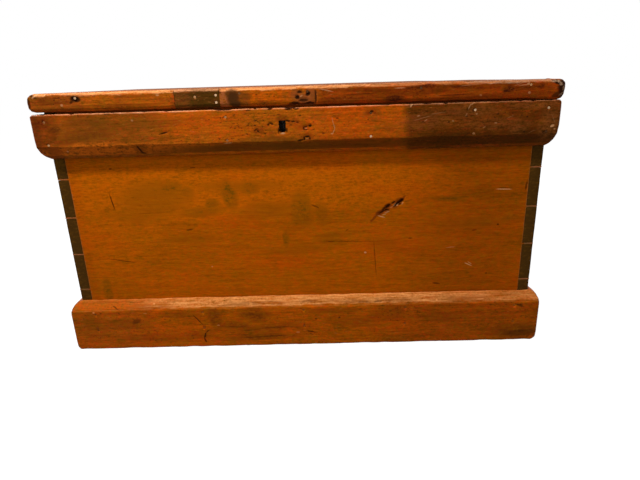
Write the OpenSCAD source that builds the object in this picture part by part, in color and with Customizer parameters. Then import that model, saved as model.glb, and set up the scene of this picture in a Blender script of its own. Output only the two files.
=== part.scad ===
// Blanket chest of pine boards: a dovetailed box with a moulded band, a plinth and a hinged lid.
// Millimetres. X runs along the chest, the front faces -Y, and Z = 0 is the floor.

/* [Box] */
// Width of the box over its side boards
body_width = 960; // [700:10:1300]
// Depth of the box over its front and back boards
body_depth = 525; // [400:5:700]
// Height of the box's rim above the floor
rim_height = 517.5; // [420:2.5:680]
// Height of the box's lower edge above the floor
box_rise = 20; // [16:1:40]
// Thickness of the front board
front_thickness = 22; // [20:1:28]
// Thickness of the back board
back_thickness = 20; // [18:1:28]
// Thickness of the side boards
side_thickness = 22; // [18:1:28]
// Thickness of the bottom planks
bottom_thickness = 14; // [10:1:15]
// Gap between two bottom planks
bottom_gap = 0.8; // [0.2:0.1:2]

/* [Dovetails] */
// Distance between two pins
pin_pitch = 79.5; // [60:0.5:110]
// Height of a pin at the outer face, which is its narrow side
pin_tip = 2.5; // [2:0.5:12]
// Run of a pin's slope for one millimetre of spread
pin_slope = 7; // [5:0.5:9]
// Distance from the rim down to the first pin
first_pin_drop = 65; // [45:1:90]
// Height of the half pins at the rim and at the lower edge
half_pin = 5; // [4:0.5:10]
// Play left in the glued joints
joint_play = 0.1; // [0.05:0.05:0.3]

/* [Band] */
// Height of the band
band_height = 85; // [70:1:120]
// Thickness of the band
band_thickness = 18; // [14:1:20]
// Gap between the band and the lid's edging
band_gap = 3.5; // [3.2:0.1:6]
// Height of the bevel along the band's lower edge
band_bevel_height = 24; // [8:1:30]
// Depth of the bevel along the band's lower edge
band_bevel_depth = 12; // [4:1:13]
// Radius of the band's worn upper edge
band_edge_radius = 2.5; // [1:0.5:4]

/* [Plinth] */
// Height of the plinth
plinth_height = 111; // [90:1:150]
// Thickness of the plinth
plinth_thickness = 20; // [18:1:28]
// Height of the bevel along the plinth's upper edge
plinth_bevel_height = 18; // [8:1:20]
// Depth of the bevel along the plinth's upper edge
plinth_bevel_depth = 14; // [6:1:15]

/* [Lid] */
// Thickness of the lid's planks
lid_thickness = 20; // [18:1:26]
// Overhang of the lid behind the back board, which stops the open lid
lid_overhang = 13; // [10:0.5:13.5]
// Gap between the rim and the closed lid
lid_gap = 0.5; // [0.3:0.1:0.8]
// Play between the rim and the lid's edging
edging_play = 0.5; // [0.3:0.1:1]
// Height of the edging below the underside of the lid
edging_drop = 14.5; // [14:0.5:20]
// Thickness of the lid's edging
edging_thickness = 18; // [14:1:20]
// Radius of the edging's upper outer edge
edging_top_radius = 7; // [2:0.5:9]
// Radius of the edging's lower outer edge
edging_foot_radius = 8; // [2:0.5:9]
// Left end of the repair let into the front edging, from the middle of the chest
repair_left = -221; // [-260:1:-190]
// Width of the repair
repair_width = 83; // [70:1:120]
// Depth of the repair, from the outer face of the edging
repair_depth = 9; // [7:0.5:10]

/* [Hinges] */
// Length of a hinge
hinge_length = 76; // [70:1:110]
// Distance from the side of the box to the middle of a hinge
hinge_inset = 170; // [100:5:240]
// Width of a leaf, from the back of the box forwards
leaf_width = 17; // [15:0.5:17.5]
// Thickness of a leaf
leaf_thickness = 2.2; // [2:0.1:2.6]
// Outer diameter of the knuckles
knuckle_diameter = 7.6; // [7:0.1:8]
// Diameter of the hinge pin
hinge_pin_diameter = 4; // [3:0.1:4.6]
// Gap between two knuckles
knuckle_gap = 0.3; // [0.2:0.1:0.6]
// Play between the hinge pin and its knuckles, on the radius
pin_play = 0.06; // [0.03:0.01:0.1]
// Play between the knuckles and the back of the box
knuckle_play = 0.4; // [0.3:0.1:0.6]

/* [Lock] */
// Place of the keyhole, from the middle of the chest
keyhole_x = -24; // [-60:1:60]
// Distance from the rim down to the middle of the keyhole
keyhole_drop = 52; // [48:1:54]
// Width of the worn keyhole
keyhole_width = 13; // [8:0.5:15]
// Height of the worn keyhole
keyhole_height = 23; // [18:0.5:26]
// Width of the lock's back plate and top plate
lock_width = 92; // [90:1:110]
// Height of the lock's back plate
lock_height = 78; // [76:1:90]
// Thickness of the lock's plates
lock_sheet = 2; // [1.8:0.1:2.5]
// Width of the lock's box
lock_box_width = 66; // [66:1:70]
// Height of the lock's box under its top plate
lock_box_height = 64; // [64:1:68]
// Depth of the lock's box in front of its back plate
lock_box_depth = 11; // [10.5:0.5:12]
// Thickness of the walls of the lock's box
lock_wall = 1.5; // [1:0.1:1.6]
// Diameter of the pin that the key turns on
key_pin_diameter = 4; // [3:0.1:5]
// Travel of the bolt
bolt_travel = 8; // [7:0.5:9]
// Thickness of the bolt's fingers
finger_thickness = 4; // [3:0.1:4.5]
// Play around the bolt, and around the lock in its mortise
lock_play = 0.3; // [0.2:0.05:0.4]

/* [Nails and screws] */
// Diameter of a nail's head
nail_head_diameter = 4.4; // [3:0.1:6]
// Diameter of a nail's shank
nail_shank_diameter = 2; // [1.6:0.1:2.6]
// Length of a nail
nail_length = 32; // [26:1:34]
// Length of the nails in the lid's edging
edging_nail_length = 44; // [34:1:60]
// Length of the nails in the repair
repair_nail_length = 16; // [14:0.5:17]
// Diameter of a screw's head
screw_head_diameter = 7; // [6:0.1:8]
// Diameter of a screw's shank
screw_shank_diameter = 3.4; // [2.8:0.1:4]
// Length of a screw
screw_length = 14; // [10:0.5:15]
// Play around nails and screws, on the radius
fastener_play = 0.05; // [0.03:0.01:0.1]

/* [Hidden] */
$fn = 64;

// A cut runs past the face that it opens by this much
past = 1;

// Faces of the box
side_x = body_width / 2;
side_in = side_x - side_thickness;
front_y = -body_depth / 2;
front_in = front_y + front_thickness;
back_y = body_depth / 2;
back_in = back_y - back_thickness;

// Heights of the box's trim and of the lid
lid_bottom = rim_height + lid_gap;
lid_top = lid_bottom + lid_thickness;
edging_bottom = lid_bottom - edging_drop;
edging_height = lid_thickness + edging_drop;
band_top = edging_bottom - band_gap;
band_bottom = band_top - band_height;
bottom_z = box_rise - bottom_thickness;

// Plan of the lid: planks within the edging, and a straight back edge
lid_x = side_x + edging_play;
lid_front = front_y - edging_play;
lid_back = back_y + lid_overhang;

// Pins of the dovetails, as many as fit between the half pins
pin_count = floor((rim_height - box_rise - first_pin_drop - 2.5 * half_pin) / pin_pitch) + 1;
pin_heights = [for (i = [0 : pin_count - 1]) rim_height - first_pin_drop - i * pin_pitch];

// Equal planks
bottom_plank_count = 6;
bottom_plank_width = body_width / bottom_plank_count;
lid_plank_count = 3;
lid_plank_depth = (lid_back - lid_front) / lid_plank_count;

// Hinge axis, and the number of knuckles on a hinge
hinge_x = side_x - hinge_inset;
axis_y = back_y + knuckle_play + knuckle_diameter / 2;
axis_z = rim_height + lid_gap / 2;
knuckle_count = 5;
knuckle_pitch = hinge_length / knuckle_count;
// Room that the lid leaves round the knuckles
knuckle_room = 1;

// Lock: distances down from the rim, and distances forward from the inner face of the front board
key_pin_drop = keyhole_drop - (keyhole_height - keyhole_width) / 2;
key_reach = 10;
key_slot = 3.5;
key_shaft_radius = 3.6;
ward_radius = 9;
ward_thickness = 1;
ward_depth = 3;
finger_top = 6;
finger_height = 5;
eye_play = 0.8;
staple_wire = 1.8;
staple_width = 3;
staple_room = 1.2;
bolt_top = finger_top + finger_height + eye_play + staple_wire + staple_room;
bolt_bottom = key_pin_drop - key_reach;
bolt_length = 42;
bolt_left = -28;
bolt_post = 5;
post_room = 1;
guide_diameter = 4;
guide_places = [-18, 13];
key_bit = 13;
key_talon = 7;
eye_side_play = 0.6;
eye_half = finger_thickness / 2 + eye_side_play;
slot_play = 0.4;
mid_depth = lock_sheet + (lock_box_depth - lock_wall) / 2;
// Left sides of the two fingers, and how far each reaches to the right
finger_inset = 2;
finger_pitch = 34;
finger_places = [bolt_left + finger_inset, bolt_left + finger_inset + finger_pitch];
finger_reach = bolt_post + bolt_travel + post_room;
// Left sides of the two staples, just past the tips of the fingers
staple_places = [for (x = finger_places) x + finger_reach + eye_play];
// The spring stands clear of the left finger at the end of its travel
spring_width = 6;
spring_thickness = 0.8;
spring_foot = 6.5;
spring_radius = (bolt_top - lock_play - lock_sheet) / 2;
spring_x = finger_places[0] + finger_reach + bolt_travel + eye_play + spring_radius;
strike_length = 74;
strike_depth = 12;
strike_screw_inset = 1;
screw_side = (lock_width / 2 + lock_box_width / 2) / 2;
plate_screw_top = 22;
plate_screw_rise = 8;
plate_screw_drops = [plate_screw_top, lock_height - plate_screw_rise];

// Fasteners
nail_head_height = 1.2;
screw_head_height = 1.8;
screw_slot_width = 0.8;
screw_slot_depth = 0.6;
// Nails of the band and of the edging, as they lie on a chest 960 wide, from its middle
nail_spread = body_width / 960;
band_nail_columns = [-473, -130, 143, 337, 473];
edging_nail_columns = [-406, -100, 26, 235, 436];
// Rows of nails: above the band's bevel and below its top, above the box's lower edge and
// below the plinth's bevel
band_nail_rise = 4;
band_nail_drop = 14;
band_nail_rows = [band_bevel_height + band_nail_rise, band_height - band_nail_drop];
plinth_nail_rise = 26;
plinth_nail_drop = 9;
plinth_nail_rows = [box_rise + plinth_nail_rise,
  plinth_height - plinth_bevel_height - plinth_nail_drop];
// Nails of the repair: from its right end, and down from the top of the lid
repair_nail_insets = [45, 6, 6];
repair_nail_drops = [14, 12, 25];
// Nails along a side, as shares of half its length
band_side_shares = [-0.9, -0.3, 0.3, 0.9];
plinth_front_shares = [-0.93, -0.45, 0, 0.45, 0.93];
plinth_side_shares = [-0.9, 0, 0.9];
bottom_side_shares = [-0.6, -0.2, 0.2, 0.6];
// Two nails in the width of a plank
plank_nail_parts = [0.25, 0.75];
// Screws of a hinge leaf, as shares of its length and its width
hinge_screw_places = [[-0.36, 0.6], [0, 0.42], [0.36, 0.6]];

// Modules for shapes that repeat

// A block between its lowest and its highest corner
module block(low, high) {
  translate(low) cube(high - low);
}

// What rounding takes off a corner, with the centre of the arc at the origin
module corner_waste(radius) {
  difference() {
    square(radius + past);
    circle(radius);
  }
}

// Section of a pin, from its outer face at 0 inwards
module pin_section(depth, play) {
  tip = pin_tip / 2 + play;
  root = tip + depth / pin_slope;
  polygon([[0, -tip], [depth, -root], [depth, root], [0, tip]]);
}

// Section of a half pin that lies under the level 0
module half_pin_section(depth, play) {
  tip = half_pin + play;
  polygon([[0, past], [0, -tip], [depth, -tip - depth / pin_slope], [depth, past]]);
}

// All pins of a board with its outer face at y = 0, on both ends, over the side boards
module corner_pins(depth, play, from_x, to_x) {
  for (end = [0, 1]) {
    mirror([end, 0, 0]) translate([from_x, 0, 0]) rotate([90, 0, 90])
      linear_extrude(to_x - from_x) {
        for (z = pin_heights) translate([0, z]) pin_section(depth, play);
        translate([0, rim_height]) half_pin_section(depth, play);
        translate([0, box_rise]) mirror([0, 1]) half_pin_section(depth, play);
      }
  }
}

// A board with pins on both ends and its outer face at y = 0
module pin_board(thickness) {
  intersection() {
    union() {
      block([-side_in + joint_play, 0, box_rise], [side_in - joint_play, thickness, rim_height]);
      corner_pins(thickness, 0, side_in - past, side_x);
    }
    block([-side_x, 0, box_rise], [side_x, thickness, rim_height]);
  }
}

// The left side board, with the sockets that leave its tails
module tail_board() {
  difference() {
    block([-side_x, front_y, box_rise], [-side_in, back_y, rim_height]);
    translate([0, front_y, 0])
      corner_pins(front_thickness, joint_play, side_in - past, side_x + past);
    translate([0, back_y, 0]) mirror([0, 1, 0])
      corner_pins(back_thickness, joint_play, side_in - past, side_x + past);
  }
}

// A length of trim along the front of a ring, mitred at both ends.
// Its section is drawn outwards from 0 and upwards from 0.
module front_trim(inner_x, inner_y, thickness, z) {
  outer_x = inner_x + thickness;
  outer_y = inner_y - thickness;
  intersection() {
    translate([-outer_x, inner_y, z]) mirror([0, 1, 0]) rotate([90, 0, 90])
      linear_extrude(2 * outer_x) children();
    translate([0, 0, z - past]) linear_extrude(rim_height)
      polygon([[-inner_x, inner_y], [inner_x, inner_y], [outer_x, outer_y], [-outer_x, outer_y]]);
  }
}

// A length of trim along the left side, mitred in front, and behind where it has a back piece
module left_trim(inner_x, front, back, thickness, z, mitred_back) {
  outer_x = inner_x + thickness;
  outer_front = front - thickness;
  outer_back = back + (mitred_back ? thickness : 0);
  intersection() {
    translate([-inner_x, outer_back, z]) mirror([1, 0, 0]) rotate([90, 0, 0])
      linear_extrude(outer_back - outer_front) children();
    translate([0, 0, z - past]) linear_extrude(rim_height)
      polygon([[-inner_x, front], [-inner_x, back], [-outer_x, outer_back],
        [-outer_x, outer_front]]);
  }
}

// Section of the band: worn above, bevelled below
module band_section() {
  difference() {
    square([band_thickness, band_height]);
    translate([band_thickness - band_edge_radius, band_height - band_edge_radius])
      corner_waste(band_edge_radius);
    polygon([[band_thickness - band_bevel_depth, 0], [band_thickness, band_bevel_height],
      [band_thickness + past, band_bevel_height], [band_thickness + past, -past],
      [band_thickness - band_bevel_depth, -past]]);
  }
}

// Section of the plinth: bevelled above
module plinth_section() {
  bevel_z = plinth_height - plinth_bevel_height;
  bevel_x = plinth_thickness - plinth_bevel_depth;
  polygon([[0, 0], [plinth_thickness, 0], [plinth_thickness, bevel_z], [bevel_x, plinth_height],
    [0, plinth_height]]);
}

// Section of the lid's edging: rounded above and below
module edging_section() {
  difference() {
    square([edging_thickness, edging_height]);
    translate([edging_thickness - edging_top_radius, edging_height - edging_top_radius])
      corner_waste(edging_top_radius);
    translate([edging_thickness - edging_foot_radius, edging_foot_radius]) mirror([0, 1])
      corner_waste(edging_foot_radius);
  }
}

// A nail driven along +Z, with the face of its head at the origin
module nail(length, play) {
  head_radius = nail_head_diameter / 2 + play;
  translate([0, 0, play > 0 ? -past : 0])
    cylinder(r = head_radius, h = nail_head_height + play + (play > 0 ? past : 0));
  cylinder(r = nail_shank_diameter / 2 + play, h = length + play);
}

// A countersunk screw driven along +Z, with the face of its head at the origin
module screw(play) {
  head_radius = screw_head_diameter / 2 + play;
  shank_radius = screw_shank_diameter / 2 + play;
  difference() {
    union() {
      cylinder(r1 = head_radius, r2 = shank_radius, h = screw_head_height);
      cylinder(r = shank_radius, h = screw_length + play);
      if (play > 0) translate([0, 0, -past]) cylinder(r = head_radius, h = past);
    }
    if (play == 0)
      block([-screw_head_diameter, -screw_slot_width / 2, -past],
        [screw_head_diameter, screw_slot_width / 2, screw_slot_depth]);
  }
}

// Nails of the band, in its front and in both its sides
module band_nail_set(play) {
  reach = band_thickness;
  for (row = band_nail_rows) {
    for (x = band_nail_columns)
      translate([x * nail_spread, front_y - reach, band_bottom + row])
        rotate([-90, 0, 0]) nail(nail_length, play);
    for (end = [0, 1], y = band_side_shares)
      mirror([end, 0, 0]) translate([-side_x - reach, y * back_y, band_bottom + row])
        rotate([0, 90, 0]) nail(nail_length, play);
  }
}

// Nails of the plinth, in all four sides
module plinth_nail_set(play) {
  reach = plinth_thickness;
  for (row = plinth_nail_rows, end = [0, 1]) {
    for (x = plinth_front_shares)
      mirror([0, end, 0]) translate([x * side_x, front_y - reach, row])
        rotate([-90, 0, 0]) nail(nail_length, play);
    for (y = plinth_side_shares)
      mirror([end, 0, 0]) translate([-side_x - reach, y * back_y, row])
        rotate([0, 90, 0]) nail(nail_length, play);
  }
}

// Nails of the bottom, driven up into the front, back and side boards
module bottom_nail_set(play) {
  for (i = [0 : bottom_plank_count - 1], part = plank_nail_parts)
    for (y = [(front_y + front_in) / 2, (back_y + back_in) / 2])
      translate([-side_x + (i + part) * bottom_plank_width, y, bottom_z])
        nail(nail_length, play);
  for (end = [0, 1], y = bottom_side_shares)
    mirror([end, 0, 0]) translate([(side_x + side_in) / 2, y * back_y, bottom_z])
      nail(nail_length, play);
}

// Nails of the lid's edging, driven into the planks
module edging_nail_set(play) {
  z = lid_top - lid_thickness / 2;
  for (x = edging_nail_columns)
    translate([x * nail_spread, lid_front - edging_thickness, z])
      rotate([-90, 0, 0]) nail(edging_nail_length, play);
  for (end = [0, 1], plank = [0 : lid_plank_count - 1], part = plank_nail_parts)
    mirror([end, 0, 0])
      translate([-lid_x - edging_thickness, lid_front + (plank + part) * lid_plank_depth, z])
        rotate([0, 90, 0]) nail(edging_nail_length, play);
}

// Nails of the repair in the front edging
module repair_nail_set(play) {
  for (i = [0 : len(repair_nail_insets) - 1])
    translate([repair_left + repair_width - repair_nail_insets[i],
        lid_front - edging_thickness, lid_top - repair_nail_drops[i]])
      rotate([-90, 0, 0]) nail(repair_nail_length, play);
}

// The worn keyhole through the wood, flat above and round below
module keyhole_cut() {
  radius = keyhole_width / 2;
  low = rim_height - keyhole_drop - keyhole_height / 2 + radius;
  high = rim_height - keyhole_drop + keyhole_height / 2;
  translate([keyhole_x, front_y - band_thickness - past, 0]) {
    translate([0, 0, low]) rotate([-90, 0, 0])
      cylinder(r = radius, h = band_thickness + front_thickness);
    block([-radius, 0, low], [radius, band_thickness + front_thickness, high]);
  }
}

// A block of the lock: distances from the keyhole, down from the rim and forward from the
// inner face of the front board
module lock_block(left, right, top, bottom, near, far) {
  translate([keyhole_x, front_in, rim_height])
    block([left, -far, -bottom], [right, -near, -top]);
}

// A round piece of the lock along Y
module lock_round(x, drop, near, far, radius) {
  translate([keyhole_x + x, front_in - near, rim_height - drop]) rotate([90, 0, 0])
    cylinder(r = radius, h = far - near);
}

// Screws of the lock: four in its back plate and two in its top plate
module lock_screw_set(play) {
  for (end = [-1, 1]) {
    for (drop = plate_screw_drops)
      translate([keyhole_x + end * screw_side, front_in, rim_height - drop])
        rotate([90, 0, 0]) screw(play);
    translate([keyhole_x + end * screw_side, front_in - mid_depth, rim_height])
      rotate([180, 0, 0]) screw(play);
  }
}

// Screws of the strike, up into the lid
module strike_screw_set(play) {
  for (end = [-1, 1])
    translate([keyhole_x
          + end * (strike_length / 2 - screw_head_diameter / 2 - strike_screw_inset),
        front_in - mid_depth, lid_bottom])
      screw(play);
}

// Screws of the hinges: down into the back board, or up into the lid
module hinge_screw_set(z, turn, play) {
  for (end = [-1, 1], place = hinge_screw_places)
    translate([end * hinge_x + place[0] * hinge_length, back_y - place[1] * leaf_width, z])
      rotate([turn, 0, 0]) screw(play);
}

// Knuckles of one leaf with the bore for the pin, around the hinge axis
module knuckles(first) {
  bore = hinge_pin_diameter / 2 + pin_play;
  difference() {
    for (i = [first : 2 : knuckle_count - 1]) {
      from_x = -hinge_length / 2 + i * knuckle_pitch + knuckle_gap / 2;
      long = knuckle_pitch - knuckle_gap;
      translate([from_x, axis_y, axis_z]) rotate([0, 90, 0])
        cylinder(d = knuckle_diameter, h = long);
      translate([from_x, 0, 0]) children();
    }
    translate([-hinge_length, axis_y, axis_z]) rotate([0, 90, 0])
      cylinder(r = bore, h = 2 * hinge_length);
  }
}

// Leaf on the box, centred on x = 0
module box_leaf() {
  low = rim_height - leaf_thickness;
  block([-hinge_length / 2, back_y - leaf_width, low], [hinge_length / 2, back_y, rim_height]);
  knuckles(0)
    block([0, back_y - past, low], [knuckle_pitch - knuckle_gap, axis_y, rim_height]);
}

// Leaf under the lid, centred on x = 0
module lid_leaf() {
  high = lid_bottom + leaf_thickness;
  block([-hinge_length / 2, back_y - leaf_width, lid_bottom], [hinge_length / 2, back_y, high]);
  knuckles(1)
    block([0, back_y - past, lid_bottom], [knuckle_pitch - knuckle_gap, axis_y, high]);
}

// Pin of a hinge, as long as the hinge
module hinge_pin(x) {
  color("dimgray") translate([x - hinge_length / 2, axis_y, axis_z]) rotate([0, 90, 0])
    cylinder(d = hinge_pin_diameter, h = hinge_length);
}

// Room in the lid for its leaves and for the knuckles
module lid_hinge_rooms() {
  half = hinge_length / 2 + joint_play;
  for (end = [-1, 1]) translate([end * hinge_x, 0, 0]) {
    block([-half, back_y - leaf_width - joint_play, lid_bottom - past],
      [half, axis_y, lid_bottom + leaf_thickness]);
    translate([-half - knuckle_room, axis_y, axis_z]) rotate([0, 90, 0])
      cylinder(r = knuckle_diameter / 2 + knuckle_room, h = 2 * (half + knuckle_room));
  }
}

// The box

module front_board() {
  color("peru") difference() {
    translate([0, front_y, 0]) pin_board(front_thickness);
    keyhole_cut();
    lock_block(-lock_width / 2 - lock_play, lock_width / 2 + lock_play, -past,
      lock_height + lock_play, -past, lock_sheet);
    lock_block(-lock_width / 2 - lock_play, lock_width / 2 + lock_play, -past, lock_sheet,
      -past, lock_sheet + lock_box_depth + lock_play);
    lock_block(-lock_box_width / 2 - lock_play, lock_box_width / 2 + lock_play, -past,
      lock_sheet + lock_box_height + lock_play, -past, lock_sheet + lock_box_depth + lock_play);
    lock_screw_set(fastener_play);
    band_nail_set(fastener_play);
    plinth_nail_set(fastener_play);
    bottom_nail_set(fastener_play);
  }
}

module back_board() {
  half = hinge_length / 2 + joint_play;
  color("peru") difference() {
    translate([0, back_y, 0]) mirror([0, 1, 0]) pin_board(back_thickness);
    for (end = [-1, 1])
      translate([end * hinge_x, 0, 0])
        block([-half, back_y - leaf_width - joint_play, rim_height - leaf_thickness],
          [half, back_y + past, rim_height + past]);
    hinge_screw_set(rim_height, 180, fastener_play);
    plinth_nail_set(fastener_play);
    bottom_nail_set(fastener_play);
  }
}

// A side board, left or right
module side_board(end) {
  color("sienna") difference() {
    mirror([end, 0, 0]) tail_board();
    band_nail_set(fastener_play);
    plinth_nail_set(fastener_play);
    bottom_nail_set(fastener_play);
  }
}

module left_side_board() {
  side_board(0);
}

module right_side_board() {
  side_board(1);
}

// One of the bottom planks, which run from front to back under the box
module bottom_plank(i) {
  left = -side_x + i * bottom_plank_width;
  color("burlywood") difference() {
    block([left + bottom_gap / 2, front_y + bottom_gap / 2, bottom_z],
      [left + bottom_plank_width - bottom_gap / 2, back_y - bottom_gap / 2, box_rise]);
    bottom_nail_set(fastener_play);
  }
}

module bottom_nails() {
  color("dimgray") bottom_nail_set(0);
}

// The plinth

module plinth_front() {
  color("sienna") difference() {
    front_trim(side_x, front_y, plinth_thickness, 0) plinth_section();
    plinth_nail_set(fastener_play);
  }
}

module plinth_back() {
  color("sienna") difference() {
    mirror([0, 1, 0]) front_trim(side_x, front_y, plinth_thickness, 0) plinth_section();
    plinth_nail_set(fastener_play);
  }
}

module plinth_side(end) {
  color("sienna") difference() {
    mirror([end, 0, 0])
      left_trim(side_x, front_y, back_y, plinth_thickness, 0, true) plinth_section();
    plinth_nail_set(fastener_play);
  }
}

module plinth_left() {
  plinth_side(0);
}

module plinth_right() {
  plinth_side(1);
}

module plinth_nails() {
  color("dimgray") plinth_nail_set(0);
}

// The band

module band_front() {
  color("chocolate") difference() {
    front_trim(side_x, front_y, band_thickness, band_bottom) band_section();
    keyhole_cut();
    band_nail_set(fastener_play);
  }
}

module band_side(end) {
  color("chocolate") difference() {
    mirror([end, 0, 0])
      left_trim(side_x, front_y, back_y, band_thickness, band_bottom, false) band_section();
    band_nail_set(fastener_play);
  }
}

module band_left() {
  band_side(0);
}

module band_right() {
  band_side(1);
}

module band_nails() {
  color("dimgray") band_nail_set(0);
}

// The lid

// One of the lid's planks, which run along the chest, counted from the front
module lid_plank(i) {
  front = lid_front + i * lid_plank_depth;
  color("peru") difference() {
    block([-lid_x, front, lid_bottom], [lid_x, front + lid_plank_depth, lid_top]);
    if (i == 0) strike_room();
    if (i == 0) strike_screw_set(fastener_play);
    if (i == lid_plank_count - 1) lid_hinge_rooms();
    if (i == lid_plank_count - 1) hinge_screw_set(lid_bottom, 0, fastener_play);
    edging_nail_set(fastener_play);
  }
}

module lid_plank_front() {
  lid_plank(0);
}

module lid_plank_middle() {
  lid_plank(1);
}

module lid_plank_back() {
  lid_plank(lid_plank_count - 1);
}

// Space of the repair in the front edging
module repair_space(play) {
  outer = lid_front - edging_thickness;
  block([repair_left - play, outer - past, edging_bottom - past],
    [repair_left + repair_width + play, outer + repair_depth + play, lid_top + past]);
}

module front_edging_form() {
  front_trim(lid_x, lid_front, edging_thickness, edging_bottom) edging_section();
}

module edging_front() {
  color("sienna") difference() {
    front_edging_form();
    repair_space(joint_play);
    edging_nail_set(fastener_play);
    repair_nail_set(fastener_play);
  }
}

module edging_repair() {
  color("saddlebrown") difference() {
    intersection() {
      front_edging_form();
      repair_space(0);
    }
    repair_nail_set(fastener_play);
  }
}

module edging_side(end) {
  color("sienna") difference() {
    mirror([end, 0, 0])
      left_trim(lid_x, lid_front, lid_back, edging_thickness, edging_bottom, false)
        edging_section();
    edging_nail_set(fastener_play);
  }
}

module edging_left() {
  edging_side(0);
}

module edging_right() {
  edging_side(1);
}

module edging_nails() {
  color("dimgray") edging_nail_set(0);
}

module repair_nails() {
  color("dimgray") repair_nail_set(0);
}

// The hinges

module hinge_box_leaf(x) {
  color("darkgray") difference() {
    translate([x, 0, 0]) box_leaf();
    hinge_screw_set(rim_height, 180, fastener_play);
  }
}

module hinge_lid_leaf(x) {
  color("silver") difference() {
    translate([x, 0, 0]) lid_leaf();
    hinge_screw_set(lid_bottom, 0, fastener_play);
  }
}

module left_hinge_box_leaf() {
  hinge_box_leaf(-hinge_x);
}

module left_hinge_lid_leaf() {
  hinge_lid_leaf(-hinge_x);
}

module left_hinge_pin() {
  hinge_pin(-hinge_x);
}

module right_hinge_box_leaf() {
  hinge_box_leaf(hinge_x);
}

module right_hinge_lid_leaf() {
  hinge_lid_leaf(hinge_x);
}

module right_hinge_pin() {
  hinge_pin(hinge_x);
}

module hinge_box_screws() {
  color("gold") hinge_screw_set(rim_height, 180, 0);
}

module hinge_lid_screws() {
  color("gold") hinge_screw_set(lid_bottom, 0, 0);
}

// The lock

// Back plate and top plate in one, with the two posts that the bolt slides on
module lock_plate() {
  depth = lock_sheet + lock_box_depth;
  half_slot = eye_half + staple_wire + lock_play;
  color("goldenrod") difference() {
    union() {
      lock_block(-lock_width / 2, lock_width / 2, 0, lock_height, 0, lock_sheet);
      lock_block(-lock_width / 2, lock_width / 2, 0, lock_sheet, 0, depth);
      for (x = guide_places)
        lock_round(x, bolt_bottom + lock_play + guide_diameter / 2, 0, depth - lock_wall,
          guide_diameter / 2);
    }
    for (x = staple_places)
      lock_block(x - slot_play, x + staple_width + slot_play, -past, lock_sheet + past,
        mid_depth - half_slot, mid_depth + half_slot);
    lock_round(0, key_pin_drop, -past, lock_sheet + past,
      key_pin_diameter / 2 + fastener_play);
    lock_screw_set(fastener_play);
  }
}

// The tray that covers the works, with the keyhole in its front
module lock_box() {
  half = lock_box_width / 2;
  bottom = lock_sheet + lock_box_height;
  depth = lock_sheet + lock_box_depth;
  color("darkgoldenrod") difference() {
    lock_block(-half, half, lock_sheet, bottom, lock_sheet, depth);
    lock_block(-half + lock_wall, half - lock_wall, -past, bottom - lock_wall, -past,
      depth - lock_wall);
    lock_round(0, key_pin_drop, lock_sheet + past, depth + past, key_shaft_radius);
    lock_block(-key_slot / 2, key_slot / 2, key_pin_drop, key_pin_drop + key_bit, lock_sheet + past,
      depth + past);
  }
}

module lock_key_pin() {
  color("silver")
    lock_round(0, key_pin_drop, 0, lock_sheet + lock_box_depth, key_pin_diameter / 2);
}

// A ring round the key's path, open below where the key enters
module lock_ward() {
  far = lock_sheet + ward_depth;
  color("goldenrod") difference() {
    lock_round(0, key_pin_drop, lock_sheet, far, ward_radius);
    lock_round(0, key_pin_drop, lock_sheet - past, far + past, ward_radius - ward_thickness);
    lock_block(-key_slot, key_slot, key_pin_drop, key_pin_drop + ward_radius + past,
      lock_sheet - past, far + past);
  }
}

// A bent leaf between the top plate and the bolt
module lock_spring() {
  middle = lock_sheet + spring_radius;
  near = mid_depth - spring_width / 2;
  far = mid_depth + spring_width / 2;
  color("silver") {
    difference() {
      lock_round(spring_x, middle, near, far, spring_radius);
      lock_round(spring_x, middle, near - past, far + past, spring_radius - spring_thickness);
      lock_block(spring_x, spring_x + spring_radius + past, lock_sheet - past, bolt_top + past,
        near - past, far + past);
    }
    lock_block(spring_x - past / 2, spring_x + spring_foot, lock_sheet,
      lock_sheet + spring_thickness, near, far);
  }
}

// A body between the plates, with two hooked fingers that pass through the strike's staples
module lock_bolt() {
  body_far = lock_sheet + lock_box_depth - lock_wall - lock_play;
  near = mid_depth - finger_thickness / 2;
  far = mid_depth + finger_thickness / 2;
  color("gold") difference() {
    union() {
      lock_block(bolt_left, bolt_left + bolt_length, bolt_top, bolt_bottom,
        lock_sheet + lock_play, body_far);
      for (x = finger_places) {
        lock_block(x, x + bolt_post, finger_top, bolt_top + past, near, far);
        lock_block(x, x + finger_reach, finger_top, finger_top + finger_height, near, far);
      }
    }
    lock_round(-bolt_travel / 2, bolt_bottom + key_talon / 2, 0, body_far + past, key_talon);
  }
}

module lock_screws() {
  color("gold") lock_screw_set(0);
}

// Space of the strike's plate in the lid
module strike_room() {
  lock_block(-strike_length / 2 - joint_play, strike_length / 2 + joint_play,
    -lid_gap - lock_sheet, past, mid_depth - strike_depth / 2 - joint_play,
    mid_depth + strike_depth / 2 + joint_play);
}

// Plate under the lid with two staples that reach down into the lock
module lid_strike() {
  eye_top = finger_top - eye_play;
  eye_bottom = finger_top + finger_height + eye_play;
  half = eye_half + staple_wire;
  color("goldenrod") difference() {
    union() {
      lock_block(-strike_length / 2, strike_length / 2, -lid_gap - lock_sheet, -lid_gap,
        mid_depth - strike_depth / 2, mid_depth + strike_depth / 2);
      for (x = staple_places)
        lock_block(x, x + staple_width, -lid_gap - lock_sheet / 2, eye_bottom + staple_wire,
          mid_depth - half, mid_depth + half);
    }
    for (x = staple_places)
      lock_block(x - past, x + staple_width + past, eye_top, eye_bottom,
        mid_depth - eye_half, mid_depth + eye_half);
    strike_screw_set(fastener_play);
  }
}

module strike_screws() {
  color("gold") strike_screw_set(0);
}

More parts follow.
